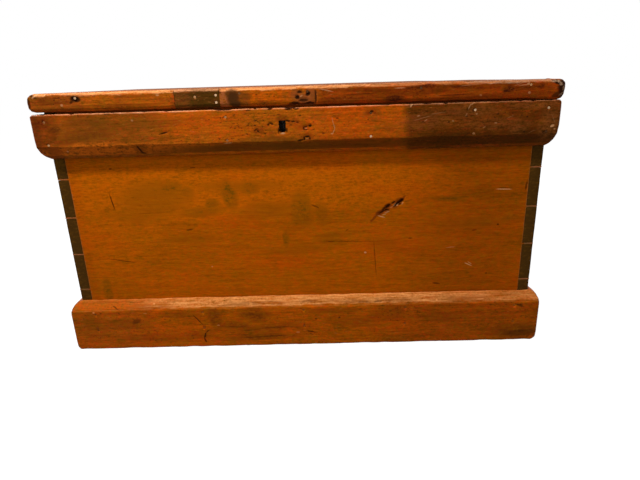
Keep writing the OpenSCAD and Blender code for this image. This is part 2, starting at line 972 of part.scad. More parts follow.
front_board();
back_board();
left_side_board();
right_side_board();
bottom_plank(0);  // bottom_plank_1
bottom_plank(1);  // bottom_plank_2
bottom_plank(2);  // bottom_plank_3
bottom_plank(3);  // bottom_plank_4
bottom_plank(4);  // bottom_plank_5
bottom_plank(5);  // bottom_plank_6
bottom_nails();
plinth_front();
plinth_back();
plinth_left();
plinth_right();
plinth_nails();
band_front();
band_left();
band_right();
band_nails();
lid_plank_front();
lid_plank_middle();
lid_plank_back();
edging_front();
edging_left();
edging_right();
edging_repair();
edging_nails();
repair_nails();
left_hinge_box_leaf();
left_hinge_lid_leaf();
left_hinge_pin();
right_hinge_box_leaf();
right_hinge_lid_leaf();
right_hinge_pin();
hinge_box_screws();
hinge_lid_screws();
lock_plate();
lock_box();
lock_key_pin();
lock_ward();
lock_spring();
lock_bolt();
lock_screws();
lid_strike();
strike_screws();
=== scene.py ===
"""Looks of an old stained pine blanket chest: worn boards, nailed-on trim with a let-in repair,
iron hinges and a lock."""

import math

import bmesh
import bpy
import numpy as np
from mathutils import Matrix, Vector


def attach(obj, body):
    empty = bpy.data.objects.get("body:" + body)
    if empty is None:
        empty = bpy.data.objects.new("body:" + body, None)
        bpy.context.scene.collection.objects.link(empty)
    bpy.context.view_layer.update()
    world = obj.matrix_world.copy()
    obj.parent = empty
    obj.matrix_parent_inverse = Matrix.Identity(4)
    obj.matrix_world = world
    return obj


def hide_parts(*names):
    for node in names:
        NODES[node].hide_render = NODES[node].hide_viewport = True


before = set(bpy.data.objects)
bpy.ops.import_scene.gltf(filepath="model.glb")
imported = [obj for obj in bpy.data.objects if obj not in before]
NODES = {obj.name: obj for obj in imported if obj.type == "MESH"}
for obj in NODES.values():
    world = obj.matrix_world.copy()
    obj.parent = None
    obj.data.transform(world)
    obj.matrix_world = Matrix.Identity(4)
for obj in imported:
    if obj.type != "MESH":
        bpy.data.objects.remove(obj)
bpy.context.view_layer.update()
MM = 0.001
COARSE = 1.0

# Faces of the chest that marks lie on, in millimetres from its centre
FRONT = -262.5
BAND_FACE = -280.5
EDGING_FACE = -281.0
PLINTH_FACE = -282.5

# Other places on the chest, in millimetres
LID_JOINTS = (-83.5, 96.0)
BOTTOM_JOINTS = (-320.0, -160.0, 0.0, 160.0, 320.0)
LID_TOP = 538.0
LID_STEP = (318.0, 352.0)
EDGING_FOOT = 503.5
BAND_TOP = 500.0
BAND_ARRIS = 439.0
PLINTH_ARRIS = 93.0
KEYHOLE_X = -8.0
SCAR_X = 13.0
INSIDE_X = 458.8
INSIDE_Y = 243.4
INSIDE_Z = (18.5, 519.5)

# Wooden pieces: from which length on their edges are eased and worn, how far wear reaches and how uneven
# their faces are, in millimetres; up to which angle faces are joined or smooth, in degrees, or sharp, in
# radians
EASED_FROM = 9.0
WORN_FROM = 40.0
WEAR_REACH = 8.0
UNEVEN_DEPTH = 0.25
FLAT_ANGLE = 0.8
SMOOTH_ANGLE = 38.0
SHARP_RADIANS = 0.5

# Materials: how deep behind its face a mark still shows, half the size of a nail head with its rim, both in
# millimetres, and the least light in the grain
MARK_DEPTH = 9.0
NAIL_REACH = 6
DARKEST = 0.45

# Camera
CAMERA_PLACE = (0.063819, -1.208386, 0.545354)
CAMERA_YAW = -0.88
CAMERA_PITCH = -18.294
CAMERA_ROLL = -1.736
CAMERA_LENS = 27.07
CAMERA_SENSOR = 36.0
CAMERA_SHIFT = (-0.0074, 0.0)

# Lamps: place, aim, size in metres, power in watts
KEY_LAMP = ((-0.4, -0.645, 1.55), (0.0, -0.28, 0.3), 0.08, 22.5)
BACK_LAMPS = (((-2.2, 1.6, 1.3), (0.0, 0.0, 0.3), 1.2, 34.0), ((2.4, 1.2, 1.3), (0.0, 0.0, 0.3), 1.2, 34.0))
SKY_LEVEL = 0.5
FLOOR_DIFFUSE = 0.3
FLOOR_SHOWN_DIFFUSE = 0.25
FLOOR_GLOW = 1.2
FLOOR_SIZE = 40.0


def tint(r, g, b):
    """A colour written as 0 to 255 values, made linear."""
    out = []
    for v in (r, g, b):
        v /= 255
        out.append(v / 12.92 if v <= 0.04045 else ((v + 0.055) / 1.055) ** 2.4)
    return (*out, 1.0)


# Noise for shapes: whole numbers that scatter the lattice's values

SCATTER = (73856093, 19349663, 83492791)
SEED_STEP = 97531
MIXER = 1274126177
KEPT_BITS = 0xFFFFFFF
LOW_BITS = 0xFFFF


def lattice(p, seed):
    """Smooth noise from 0 to 1 at each row of p."""
    base = np.floor(p).astype(np.int64)
    f = p - base
    f = f * f * (3 - 2 * f)
    total = np.zeros(len(p))
    for i in (0, 1):
        for j in (0, 1):
            for k in (0, 1):
                h = (
                    (base[:, 0] + i) * SCATTER[0]
                    ^ (base[:, 1] + j) * SCATTER[1]
                    ^ (base[:, 2] + k) * SCATTER[2]
                )
                h = (h ^ (seed * SEED_STEP)) & KEPT_BITS
                h = ((h ^ (h >> 13)) * MIXER) & KEPT_BITS
                h ^= h >> 15
                share = np.abs(1 - i - f[:, 0]) * np.abs(1 - j - f[:, 1]) * np.abs(1 - k - f[:, 2])
                total += share * (h & LOW_BITS) / LOW_BITS
    return total


def rough(p, size, seed, octaves=2):
    """Noise from 0 to 1 with features of that size along each axis."""
    q = p / np.array(size)
    total, weight = 0, 0
    for o in range(octaves):
        total = total + lattice(q * 2**o + 17.3 * o, seed + o) * 0.5**o
        weight += 0.5**o
    return total / weight


def ease(v, low, high):
    """0 at low and beyond, 1 at high and beyond, smooth between; low may be the larger."""
    t = np.clip((v - low) / (high - low), 0, 1)
    return t * t * (3 - 2 * t)


# Wooden pieces


def segment_distance(p, a, b):
    """How far each row of p is from the line between a and b."""
    d = b - a
    t = np.clip(((p - a) @ d) / (d @ d), 0, 1)
    return np.linalg.norm(p - a - t[:, None] * d, axis=1)


def cut_places(low, high, step, near=(1.5, 4.0), windows=()):
    """Places of the cuts between two ends, closer at the ends and in the windows (from, to, step)."""
    places = set()
    count = max(1, round((high - low) / (step * COARSE)))
    for k in range(1, count):
        places.add(round(low + (high - low) * k / count, 3))
    for n in near:
        places.update((round(low + n, 3), round(high - n, 3)))
    for start, end, fine in windows:
        n = max(1, round((end - start) / (fine * COARSE)))
        for k in range(n + 1):
            v = round(start + (end - start) * k / n, 3)
            if low < v < high:
                places.add(v)
    out = []
    for v in sorted(places):
        if not out or v - out[-1] > 0.35:
            out.append(v)
    return out


def pits(lists, face):
    """Depth of the marks pressed or torn into the front face: lists of (marks, depth in millimetres)."""

    def depth_of(p, n):
        shake = np.stack([rough(p, (4, 4, 4), 91, 2), rough(p, (4, 4, 4), 93, 2)], 1) - 0.5
        x, z = p[:, 0] + 2.2 * shake[:, 0], p[:, 2] + 2.2 * shake[:, 1]
        on_face = (np.abs(p[:, 1] - face) < 0.4) & (n[:, 1] < -0.7)
        total = np.zeros(len(p))
        for marks, depth in lists:
            for mx, mz, long, wide, turn, strength in marks:
                c, s = math.cos(math.radians(turn)), math.sin(math.radians(turn))
                u, v = (x - mx) * c + (z - mz) * s, (z - mz) * c - (x - mx) * s
                far = np.sqrt((u / long) ** 2 + (v / max(wide, 1.2)) ** 2)
                total = np.maximum(total, depth * strength * ease(far, 1.25, 0.6))
        return total * on_face

    return depth_of


def moulded_ends(left, right, outer, front, radius=4.5, inner=455.0):
    """Shapes the trim's front corners: left and right give how far out they reach at each height,
    outer and front the trim's own side and front at each height."""

    def mould(p):
        q = p.copy()
        x, y, z = np.abs(p[:, 0]), p[:, 1], p[:, 2]
        own = np.interp(z, *zip(*outer))
        reach = np.where(p[:, 0] < 0, np.interp(z, *zip(*left)), np.interp(z, *zip(*right)))
        share = 1 - ease(y, -258, -225)
        factor = 1 + share * ((reach - inner) / (own - inner) - 1)
        x = np.where(x > inner, inner + (x - inner) * factor, x)
        side = inner + (own - inner) * factor
        face = np.interp(z, *zip(*front))
        u, v = (x - side + radius) / radius, (face + radius - y) / radius
        r = np.where((u > 0) & (v > 0), np.maximum(np.hypot(u, v), 1), 1)
        q[:, 0] = np.sign(p[:, 0]) * np.where(r > 1, side - radius + radius * u / r, x)
        q[:, 1] = np.where(r > 1, face + radius - radius * v / r, y)
        return q

    return mould


def shape_piece(node, body, material, steps, bevel, wear, windows=None, seed=1, extra=None, mould=None):
    """A node's own solid with eased and worn edges and a slightly uneven face.

    steps: distance between cuts along x, y and z, 0 for none; wear: how deep the long edges are worn;
    windows: by axis, where the cuts are closer; extra: gives each point's further depth, from its
    place and normal; mould: moves the points last"""
    windows = windows or {}
    bm = bmesh.new()
    bm.from_mesh(NODES[node].data)
    bmesh.ops.remove_doubles(bm, verts=bm.verts, dist=2e-6)
    bmesh.ops.dissolve_limit(bm, angle_limit=math.radians(FLAT_ANGLE), verts=bm.verts, edges=bm.edges)
    bm.normal_update()
    low = np.array([min(v.co[k] for v in bm.verts) for k in range(3)]) / MM
    high = np.array([max(v.co[k] for v in bm.verts) for k in range(3)]) / MM
    sharp, main = [], []
    for e in bm.edges:
        long_enough = e.calc_length() > EASED_FROM * MM
        if len(e.link_faces) == 2 and e.is_convex and long_enough and e.calc_face_angle(0) > SHARP_RADIANS:
            sharp.append(e)
            if e.calc_length() > WORN_FROM * MM:
                main.append((np.array(e.verts[0].co) / MM, np.array(e.verts[1].co) / MM))
    if sharp and bevel:
        bmesh.ops.bevel(
            bm, geom=sharp, offset=bevel * MM, offset_type="OFFSET", segments=2, profile=0.5,
            affect="EDGES", clamp_overlap=True,
        )
    for axis in range(3):
        if not steps[axis]:
            continue
        normal = Vector((0, 0, 0))
        normal[axis] = 1
        for place in cut_places(low[axis], high[axis], steps[axis], windows=windows.get(axis, ())):
            at = Vector((0, 0, 0))
            at[axis] = place * MM
            geom = bm.verts[:] + bm.edges[:] + bm.faces[:]
            bmesh.ops.bisect_plane(bm, geom=geom, dist=1e-7, plane_co=at, plane_no=normal)
    bm.normal_update()
    p = np.array([v.co for v in bm.verts]) / MM
    n = np.array([v.normal for v in bm.verts])
    near = np.full(len(p), 1e3)
    for a, b in main:
        near = np.minimum(near, segment_distance(p, a, b))
    depth = UNEVEN_DEPTH * rough(p, (60, 25, 25), seed)
    depth += wear * ease(near, 4.5, 0.3) * (0.25 + 1.1 * ease(rough(p, (22, 22, 22), seed + 5, 3), 0.42, 0.8))
    if extra:
        depth += extra(p, n)
    p -= n * depth[:, None]
    if mould:
        p = mould(p)
    for v, co in zip(bm.verts, p * MM):
        v.co = co
    mesh = bpy.data.meshes.new(node + "_worn")
    bm.to_mesh(mesh)
    bm.free()
    edge = mesh.attributes.new("edge", "FLOAT", "POINT")
    edge.data.foreach_set("value", np.clip(1 - near / WEAR_REACH, 0, 1).astype(np.float32))
    mesh.shade_smooth()
    mesh.set_sharp_from_angle(angle=math.radians(SMOOTH_ANGLE))
    piece = bpy.data.objects.new(node + "_worn", mesh)
    bpy.context.scene.collection.objects.link(piece)
    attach(piece, body)
    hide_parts(node)
    piece.data.materials.append(material)


# Materials


class Graph:
    """A node material put together step by step."""

    def __init__(self, name, roughness=0.5, specular=0.035, metallic=0.0, spec_tint=(1.0, 0.45, 0.1, 1.0)):
        self.material = bpy.data.materials.new(name)
        self.material.use_nodes = True
        self.tree = self.material.node_tree
        self.shader = self.tree.nodes["Principled BSDF"]
        self.shader.inputs["Roughness"].default_value = roughness
        self.shader.inputs["Specular IOR Level"].default_value = specular
        self.shader.inputs["Specular Tint"].default_value = spec_tint
        self.shader.inputs["Metallic"].default_value = metallic
        self.coords = self.tree.nodes.new("ShaderNodeTexCoord")
        self.place = self.scaled(self.coords.outputs["Object"], 1 / MM)
        self.axes = self.add("ShaderNodeSeparateXYZ", {0: self.place}).outputs
        self.normal = self.add("ShaderNodeSeparateXYZ", {0: self.coords.outputs["Normal"]}).outputs

    def add(self, kind, inputs=(), **settings):
        node = self.tree.nodes.new(kind)
        for key, value in settings.items():
            setattr(node, key, value)
        for key, value in dict(inputs).items():
            if isinstance(value, bpy.types.NodeSocket):
                self.tree.links.new(value, node.inputs[key])
            else:
                node.inputs[key].default_value = value
        return node

    def math(self, operation, a, b=0.0, c=0.0, clamp=False):
        return self.add("ShaderNodeMath", {0: a, 1: b, 2: c}, operation=operation, use_clamp=clamp).outputs[0]

    def range(self, value, a, b, c=0.0, d=1.0, smooth=True):
        kind = "SMOOTHSTEP" if smooth else "LINEAR"
        node = self.add(
            "ShaderNodeMapRange", {0: value, 1: a, 2: b, 3: c, 4: d}, interpolation_type=kind, clamp=True,
        )
        return node.outputs[0]

    def stretch(self, size, offset=(0, 0, 0), vector=None):
        """Place divided by size along each axis."""
        inputs = {0: vector or self.place, 1: offset, 3: tuple(1 / s for s in size)}
        return self.add("ShaderNodeMapping", inputs, vector_type="POINT").outputs[0]

    def noise(self, size, detail=3.0, rough=0.55, distort=0.0, offset=(0, 0, 0), vector=None, color=False):
        vector = self.stretch(size, offset, vector)
        inputs = {"Vector": vector, "Scale": 1.0, "Detail": detail, "Roughness": rough, "Distortion": distort}
        return self.add("ShaderNodeTexNoise", inputs).outputs[1 if color else 0]

    def mix(self, share, a, b):
        node = self.add("ShaderNodeMix", data_type="RGBA")
        for key, value in ((0, share), (6, a), (7, b)):
            if isinstance(value, bpy.types.NodeSocket):
                self.tree.links.new(value, node.inputs[key])
            else:
                node.inputs[key].default_value = value
        return node.outputs[2]

    def scaled(self, vector, factor):
        return self.add("ShaderNodeVectorMath", {0: vector, 3: factor}, operation="SCALE").outputs[0]

    def cover(self, colour, other, share, strength=None, clamp=False):
        """The colour with the other over it, as much as share times strength says."""
        if strength is not None:
            share = self.math("MULTIPLY", share, strength, clamp=clamp)
        return self.mix(share, colour, other)

    def sway(self, level, parts, gain):
        """The level moved up and down by each of the parts, which are pairs of a noise and its weight."""
        for value, weight in parts:
            level = self.math("MULTIPLY_ADD", self.math("SUBTRACT", value, 0.5), weight * gain, level)
        return level

    def shaken(self, amount, size=6.0):
        """Place with its outline shaken by that many millimetres, so that marks get ragged."""
        shake = self.noise((size, size, size), 3.0, 0.6, color=True)
        off = self.add("ShaderNodeVectorMath", {0: shake, 1: (0.5, 0.5, 0.5)}, operation="SUBTRACT")
        off = self.scaled(off.outputs[0], 2.0 * amount)
        return self.add("ShaderNodeVectorMath", {0: self.place, 1: off}, operation="ADD").outputs[0]

    def marks(self, spots, face, vector, soft=0.35):
        """Where any spot lies: each is x, z, half its length and width, turn in degrees and strength."""
        total = 0.0
        for x, z, long, wide, turn, strength in spots:
            c, s = math.cos(math.radians(turn)), math.sin(math.radians(turn))
            squares = []
            for across, size in (((c, 0.0, s), long), ((-s, 0.0, c), wide)):
                inputs = {0: vector, 1: tuple(v / size for v in across)}
                at = self.add("ShaderNodeVectorMath", inputs, operation="DOT_PRODUCT").outputs["Value"]
                off = self.math("SUBTRACT", at, (x * across[0] + z * across[2]) / size)
                squares.append(self.math("MULTIPLY", off, off))
            here = self.range(self.math("ADD", *squares), (1.0 - soft) ** 2, (1.0 + soft) ** 2, strength, 0.0)
            total = self.math("MAXIMUM", total, here)
        return self.math("MULTIPLY", total, self.math("LESS_THAN", self.axes[1], face + MARK_DEPTH))

    def finish(self, colour, bump=None, height=0.3, roughness=None):
        self.tree.links.new(colour, self.shader.inputs["Base Color"])
        if roughness is not None:
            self.tree.links.new(roughness, self.shader.inputs["Roughness"])
        if bump is not None:
            node = self.add("ShaderNodeBump", {"Strength": height, "Distance": 0.001, "Height": bump})
            self.tree.links.new(node.outputs[0], self.shader.inputs["Normal"])
        return self.material


def wood(
    name, along, base, warm, cool, end, inside=None, zones=(), marks=(), face=FRONT, seed=0.0,
    patches=(1.0, 1.0), uneven=1.0, specks=0.0, dashes=0.0, dash_tone=tint(158, 52, 14), worn=None, rub=0.75,
    crown=None, knots=0.0, seams=(), shine=(0.62, 0.5), hues=1.0, fade=(), top=None, fine=0.15, flecks=0.0,
):
    """Stained pine.

    along: the grain's axis, 0 for x and 1 for y; warm and cool: what its patches turn to, as far as patches
    says; end and inside: colours of end grain and of bare wood inside the chest; top: (colour, strength) of
    painted shade on upper faces; zones: (from, to, softness, colour, strength) along x; seams: places of the
    planks' joints; marks: (spots, colour, strength, shake, softness) on the front face; worn and rub: colour
    and strength of edges, partly wear and partly a painted highlight where the colour is pale, kept off
    downward faces; crown: (height, wave, colour, strength) of a paler upper edge, partly wear and partly a
    painted highlight, and fade: (from, to, before, after) of it along x; uneven, hues, fine, specks, dashes,
    flecks and knots: how much of each it shows"""
    g = Graph(name)

    def grown(long, across):
        size = [across] * 3
        size[along] = long
        return size

    # Grain and mottle
    wavy_place = g.shaken(7.0, 130.0)
    broad = g.noise(grown(190, 80), 3.0, 0.6, 0.4, (seed + 1, 1.0, 4.0))
    cloud = g.noise(grown(48, 24), 5.0, 0.68, 0.6, (seed + 2, 7.0, 1.0))
    streak = g.noise(grown(85, 3.8), 4.0, 0.62, 0.8, (seed + 3, 2.0, seed), wavy_place)
    dash = g.noise(grown(15, 2.8), 4.0, 0.7, 0.3, (seed, 5.0, 1.0), wavy_place)
    mottle = g.noise((10, 10, 8), 5.0, 0.72, 0.4, (seed + 4, 3.0, 8.0))
    flake = g.noise((5.0, 5.0, 3.4), 4.0, 0.7, 0.0, (seed + 5, 1.0, 2.0))
    ring = g.math("MULTIPLY", g.noise(grown(700, 26), 1.0, 0.4, 0.6, (seed, seed * 0.7, seed * 1.3)), 11.0)
    ring = g.math("PINGPONG", ring, 1.0)
    parts = (
        (broad, 0.6), (cloud, 0.75), (streak, 0.7), (dash, 1.0), (mottle, 0.55), (flake, fine), (ring, 0.1),
    )
    level = g.math("MAXIMUM", g.sway(1.0, parts, uneven), DARKEST)
    redder = g.sway(0.0, ((cloud, 0.5), (mottle, 0.8), (flake, 0.7), (broad, 0.3)), hues)
    red_share = g.math("MULTIPLY_ADD", redder, 0.3, 1.0)
    green_share = g.math("MULTIPLY_ADD", redder, -0.75, 1.0)
    hue = g.add("ShaderNodeCombineXYZ", {0: red_share, 1: green_share, 2: 1.0}).outputs[0]

    # Stain, in patches and zones
    colour = g.cover(base, warm, g.range(broad, 0.48, 0.68), patches[0])
    x = g.add("ShaderNodeSeparateXYZ", {0: g.shaken(9.0, 22.0)}).outputs[0]
    for start, end_at, soft, zone, strength in zones:
        before = g.range(x, end_at - soft, end_at + soft, 1.0, 0.0)
        within = g.math("MULTIPLY", g.range(x, start - soft, start + soft), before)
        colour = g.cover(colour, zone, within, strength)
    colour = g.cover(colour, cool, g.range(cloud, 0.5, 0.66), patches[1])
    if dashes:
        red = g.range(g.noise(grown(26, 2.6), 3.0, 0.6, 0.0, (seed, 4.0, 9.0)), 0.56, 0.7)
        colour = g.cover(colour, dash_tone, red, dashes)
    colour = g.scaled(colour, level)
    colour = g.add("ShaderNodeVectorMath", {0: colour, 1: hue}, operation="MULTIPLY").outputs[0]

    # Flecks, knots and specks
    if flecks:
        light = g.noise(grown(12, 1.7), 3.0, 0.65, 0.0, (seed, 7.0, 7.0), wavy_place)
        colour = g.cover(colour, tint(206, 126, 66), g.range(light, 0.6, 0.72), flecks)
    if knots:
        at = g.stretch(grown(420, 300), (seed, 0.3, 0.6), g.shaken(7.0, 24.0))
        cells = g.add("ShaderNodeTexVoronoi", {"Vector": at, "Scale": 1.0, "Randomness": 0.9})
        heart = cells.outputs["Distance"]
        halo = g.math("PINGPONG", g.math("MULTIPLY", heart, 60.0), 1.0)
        halo = g.math("MULTIPLY", g.range(halo, 0.2, 0.9, 0.2, 1.0), g.range(heart, 0.05, 0.1, 0.6, 0.0))
        core = g.range(heart, 0.028, 0.042, 1.0, 0.0)
        colour = g.cover(colour, tint(74, 34, 8), g.math("MAXIMUM", halo, core), knots)
    if specks:
        speck = g.noise((6.5, 6.5, 4.0), 3.0, 0.6, 0.0, (seed, 8.0, 3.0))
        thick = g.noise(grown(130, 60), 2.0, 0.5, 0.0, (seed, 3.0, 6.0))
        speck = g.range(g.math("MULTIPLY_ADD", thick, 0.35, speck), 0.82, 0.89)
        colour = g.cover(colour, tint(40, 20, 8), speck, specks)

    # Paler upper edge, partly wear and partly a painted highlight; marks; painted shade on upper faces
    if crown is not None:
        # The crown is partly wear and partly a painted highlight along the upper edge
        level_at, wave, crown_colour, crown_strength = crown
        wavy = g.noise((26, 26, 26), 4.0, 0.6, 0.0, (seed, 2.0, 5.0))
        grainy = g.noise(grown(40, 3.0), 3.0, 0.65, 0.0, (seed, 6.0, 5.0))
        high = g.math("MULTIPLY_ADD", g.math("SUBTRACT", wavy, 0.5), wave, g.axes[2])
        high = g.range(high, level_at - 1.0, level_at + 1.5)
        patchy = g.range(g.math("MULTIPLY_ADD", flake, 0.6, grainy), 0.6, 0.98, 0.0, 1.35, smooth=False)
        high = g.math("MULTIPLY", high, patchy)
        for start, end_at, before, after in fade:
            high = g.math("MULTIPLY", high, g.range(g.axes[0], start, end_at, before, after))
        colour = g.cover(colour, crown_colour, high, crown_strength, clamp=True)
    broken = g.math("ADD", g.math("ADD", mottle, dash), flake)
    for spots, mark, strength, shake, soft in marks:
        here = g.marks(spots, face, g.shaken(shake, max(3.0, shake * 3)), soft)
        if soft > 0.5:
            here = g.math("MULTIPLY", here, g.range(broken, 1.3, 1.72, 0.1, 1.6, smooth=False))
        colour = g.cover(colour, mark, here, strength, clamp=True)
    # Painted shade: faces turned up are darkened towards the top colour
    if top is not None:
        upper = g.range(g.normal[2], 0.9, 0.98)
        colour = g.cover(colour, g.scaled(top[0][:3], level), upper, top[1])

    # End grain, worn edges that are partly a painted highlight, bare wood inside and joints
    pores = g.noise((1.6, 1.6, 3.5), 3.0, 0.6, 0.0, (seed, 9.0, 2.0))
    end_level = g.range(pores, 0.3, 0.7, 0.8, 1.2, smooth=False)
    grain_face = g.range(g.math("ABSOLUTE", g.normal[along]), 0.6, 0.85)
    colour = g.cover(colour, g.scaled(end[:3], end_level), grain_face)
    if worn is not None:
        edge = g.add("ShaderNodeAttribute", attribute_name="edge").outputs["Fac"]
        nibble = g.noise((12, 12, 5), 4.0, 0.65, 0.0, (seed, 3.0, 3.0))
        rubbed_and_highlit = g.range(g.math("MULTIPLY_ADD", nibble, 0.9, edge), 1.18, 1.42)
        # Paler edges are partly wear and partly a painted highlight, so they are left off faces turned down,
        # where shade falls
        rubbed_and_highlit = g.math("MULTIPLY", rubbed_and_highlit, g.range(g.normal[2], -0.35, -0.05, 0.0, 1.0))
        colour = g.cover(colour, worn, rubbed_and_highlit, rub)
    if inside is not None:
        within = g.math("LESS_THAN", g.math("ABSOLUTE", g.axes[0]), INSIDE_X)
        within = g.math("MULTIPLY", within, g.math("LESS_THAN", g.math("ABSOLUTE", g.axes[1]), INSIDE_Y))
        within = g.math("MULTIPLY", within, g.math("GREATER_THAN", g.axes[2], INSIDE_Z[0]))
        within = g.math("MULTIPLY", within, g.math("LESS_THAN", g.axes[2], INSIDE_Z[1]))
        colour = g.cover(colour, g.scaled(inside[:3], level), within)
    for seam in seams:
        gap = g.range(g.math("ABSOLUTE", g.math("SUBTRACT", g.axes[1 - along], seam)), 0.9, 2.4, 0.9, 0.0)
        colour = g.cover(colour, tint(38, 20, 8), gap)
    relief = g.math("MULTIPLY_ADD", streak, 0.6, g.math("MULTIPLY", dash, 0.5))
    return g.finish(colour, relief, 0.35, g.range(cloud, 0.35, 0.65, *shine))


BARE = tint(196, 150, 96)
END_GRAIN = tint(90, 58, 16)
BOARD = dict(
    base=tint(170, 81, 1), warm=tint(168, 71, 1), cool=tint(142, 76, 2), end=END_GRAIN, inside=BARE,
    patches=(0.8, 0.6), worn=tint(150, 90, 40), uneven=0.75, hues=1.3, dashes=0.3, dash_tone=tint(116, 50, 1),
)
END_STRIPS = [(-520, -459, 1, tint(138, 90, 54), 0.9), (459, 520, 1, tint(138, 90, 54), 0.9)]

# Marks on the front board, each as Graph.marks takes them
BOARD_SCRATCHES = (
    (-378.5, 325.5, 16, 1.2, -80, 1.0), (98, 228.5, 55, 0.9, -1.6, 0.6), (63, 229, 8, 1.1, -1, 0.8),
    (153.5, 189, 38, 0.9, -86, 0.65), (-378, 198, 29, 1.0, -10, 0.75), (-300, 299, 42, 0.7, 1, 0.3),
    (-228, 262, 6, 1.3, 4, 0.8), (226, 232, 4, 1.2, 0, 0.7), (357, 246, 5, 1.3, 8, 0.7),
    (404, 257, 2.2, 1.8, 0, 0.9), (388, 150, 2.2, 1.6, 0, 0.7), (32, 305, 8, 1.6, -25, 0.7),
    (284, 129, 8, 2.0, -12, 0.7), (-371, 392, 3, 1.6, 10, 0.7), (-207, 390, 5, 1.3, 0, 0.7),
    (454, 336, 9, 2.0, 84, 0.8), (96, 253, 3, 1.4, 20, 0.6), (300, 314, 18, 1.2, 2, 0.35),
    (409, 333, 9, 1.2, 0, 0.55),
)
BOARD_GOUGE = (
    (199.5, 307.5, 10, 2.4, 42, 1.0), (206, 312, 5.0, 3.4, 30, 1.0), (203, 305, 3, 1.6, 40, 0.8),
    (179, 301, 5.5, 2.8, 35, 0.9), (175.5, 293.2, 5, 1.5, 12, 0.9), (190, 308.5, 4, 1.5, 35, 0.8),
    (167, 289, 7, 1.5, 28, 0.7), (171, 296, 4, 1.5, 40, 0.7),
)
BOARD_SPLINTERS = (
    (193, 304.5, 4, 1.2, 42, 0.7), (198.5, 303.5, 3, 1.2, 40, 0.6), (166.3, 279.7, 7, 1.0, -17, 0.9),
    (177.5, 289, 5, 1.2, 18, 0.6), (171.5, 284, 4, 1.0, 15, 0.6), (208, 306, 3, 1.2, 60, 0.4),
    (186, 299, 3, 1.0, 30, 0.4), (133, 203, 2.4, 2.0, 0, 0.8), (410, 330, 14, 1.2, -2, 0.8),
    (349, 171, 8, 1.2, -25, 0.8), (352, 174, 5, 1.0, -30, 0.6), (-190, 180, 2, 1.2, 0, 0.5),
    (310, 210, 9, 0.8, 6, 0.4),
)
BOARD_SMUDGES = (
    (-290, 330, 52, 26, 3, 0.55), (-256, 352, 18, 8, 3, 0.8), (-178, 316, 9, 8, 20, 0.8),
    (-140, 336, 11, 22, 8, 0.9), (-96, 346, 14, 10, 0, 0.8), (4, 300, 16, 26, 10, 0.8),
    (-30, 236, 5, 12, 0, 0.8), (-200, 300, 34, 9, 6, 0.6), (-226, 340, 12, 9, 0, 0.6),
    (44, 292, 9, 16, 8, 0.6), (298, 314, 26, 4, 0, 0.8), (426, 269, 14, 5, 6, 0.7),
    (-420, 130, 7, 22, 0, 0.8), (-60, 300, 50, 12, 5, 0.45), (-120, 350, 60, 8, 0, 0.45),
    (62, 236, 20, 10, 0, 0.5), (-230, 240, 45, 10, 0, 0.35), (-330, 296, 46, 12, -4, 0.35),
    (360, 262, 60, 8, 3, 0.4), (170, 222, 26, 10, 0, 0.3), (-10, 214, 60, 9, 2, 0.3),
)
# Painted light: brighter patches over the board's upper part, most at the left, standing for light that falls
# there
BOARD_PAINTED_LIGHT = ((-270, 345, 190, 44, 0, 0.8), (20, 350, 180, 36, 0, 0.8), (-380, 300, 80, 90, 0, 0.4))
BOARD_TEAR = (
    (164, 288.5, 11, 4.8, 30, 1.0), (151, 277, 10, 2.6, 50, 0.8), (210, 318, 7, 2.0, 42, 0.8),
    (198, 307.5, 13, 6.0, 42, 0.8), (179, 300, 9, 6.0, 35, 0.9), (176, 292, 7, 4.0, 20, 0.8),
)
board_wood = wood(
    "board_pine", 0, **(BOARD | dict(uneven=0.95, fine=0.45, flecks=0.12)),
    zones=[(-462, -440, 5, tint(150, 58, 2), 0.3), (250, 470, 120, tint(144, 66, 1), 0.9), *END_STRIPS],
    marks=[
        # The first marks are painted light, brightening the board's upper left
        (BOARD_PAINTED_LIGHT, tint(198, 96, 3), 0.6, 20.0, 0.9), (BOARD_SMUDGES, tint(100, 66, 5), 0.7, 9.0, 0.85),
        (BOARD_TEAR, tint(96, 36, 10), 0.8, 3.0, 0.4), (BOARD_SCRATCHES, tint(52, 20, 2), 0.85, 0.9, 0.35),
        (BOARD_GOUGE, tint(34, 13, 5), 0.9, 2.0, 0.5), (BOARD_SPLINTERS, tint(206, 146, 94), 0.75, 0.9, 0.35),
    ],
)
back_wood = wood("back_pine", 0, **BOARD, seed=17.0, knots=0.85, zones=END_STRIPS)
side_wood = wood("side_pine", 1, **(BOARD | dict(worn=tint(60, 38, 12))), seed=11.0, knots=0.8)
lid_wood = wood(
    "lid_pine", 0, tint(114, 60, 14), tint(112, 50, 9), tint(88, 54, 18), END_GRAIN, inside=BARE,
    patches=(0.8, 0.8), uneven=1.2, specks=0.5, dashes=0.3, seed=5.0, knots=0.85, seams=LID_JOINTS,
)
bottom_wood = wood(
    "bottom_pine", 1, tint(176, 128, 76), tint(160, 108, 60), tint(140, 104, 66), END_GRAIN, seed=23.0,
    seams=BOTTOM_JOINTS,
)
TRIM = dict(
    specks=0.75, dashes=0.5, uneven=1.5, hues=1.7, fine=0.7, flecks=0.3, patches=(0.7, 0.75), face=BAND_FACE,
    shine=(0.56, 0.42),
)

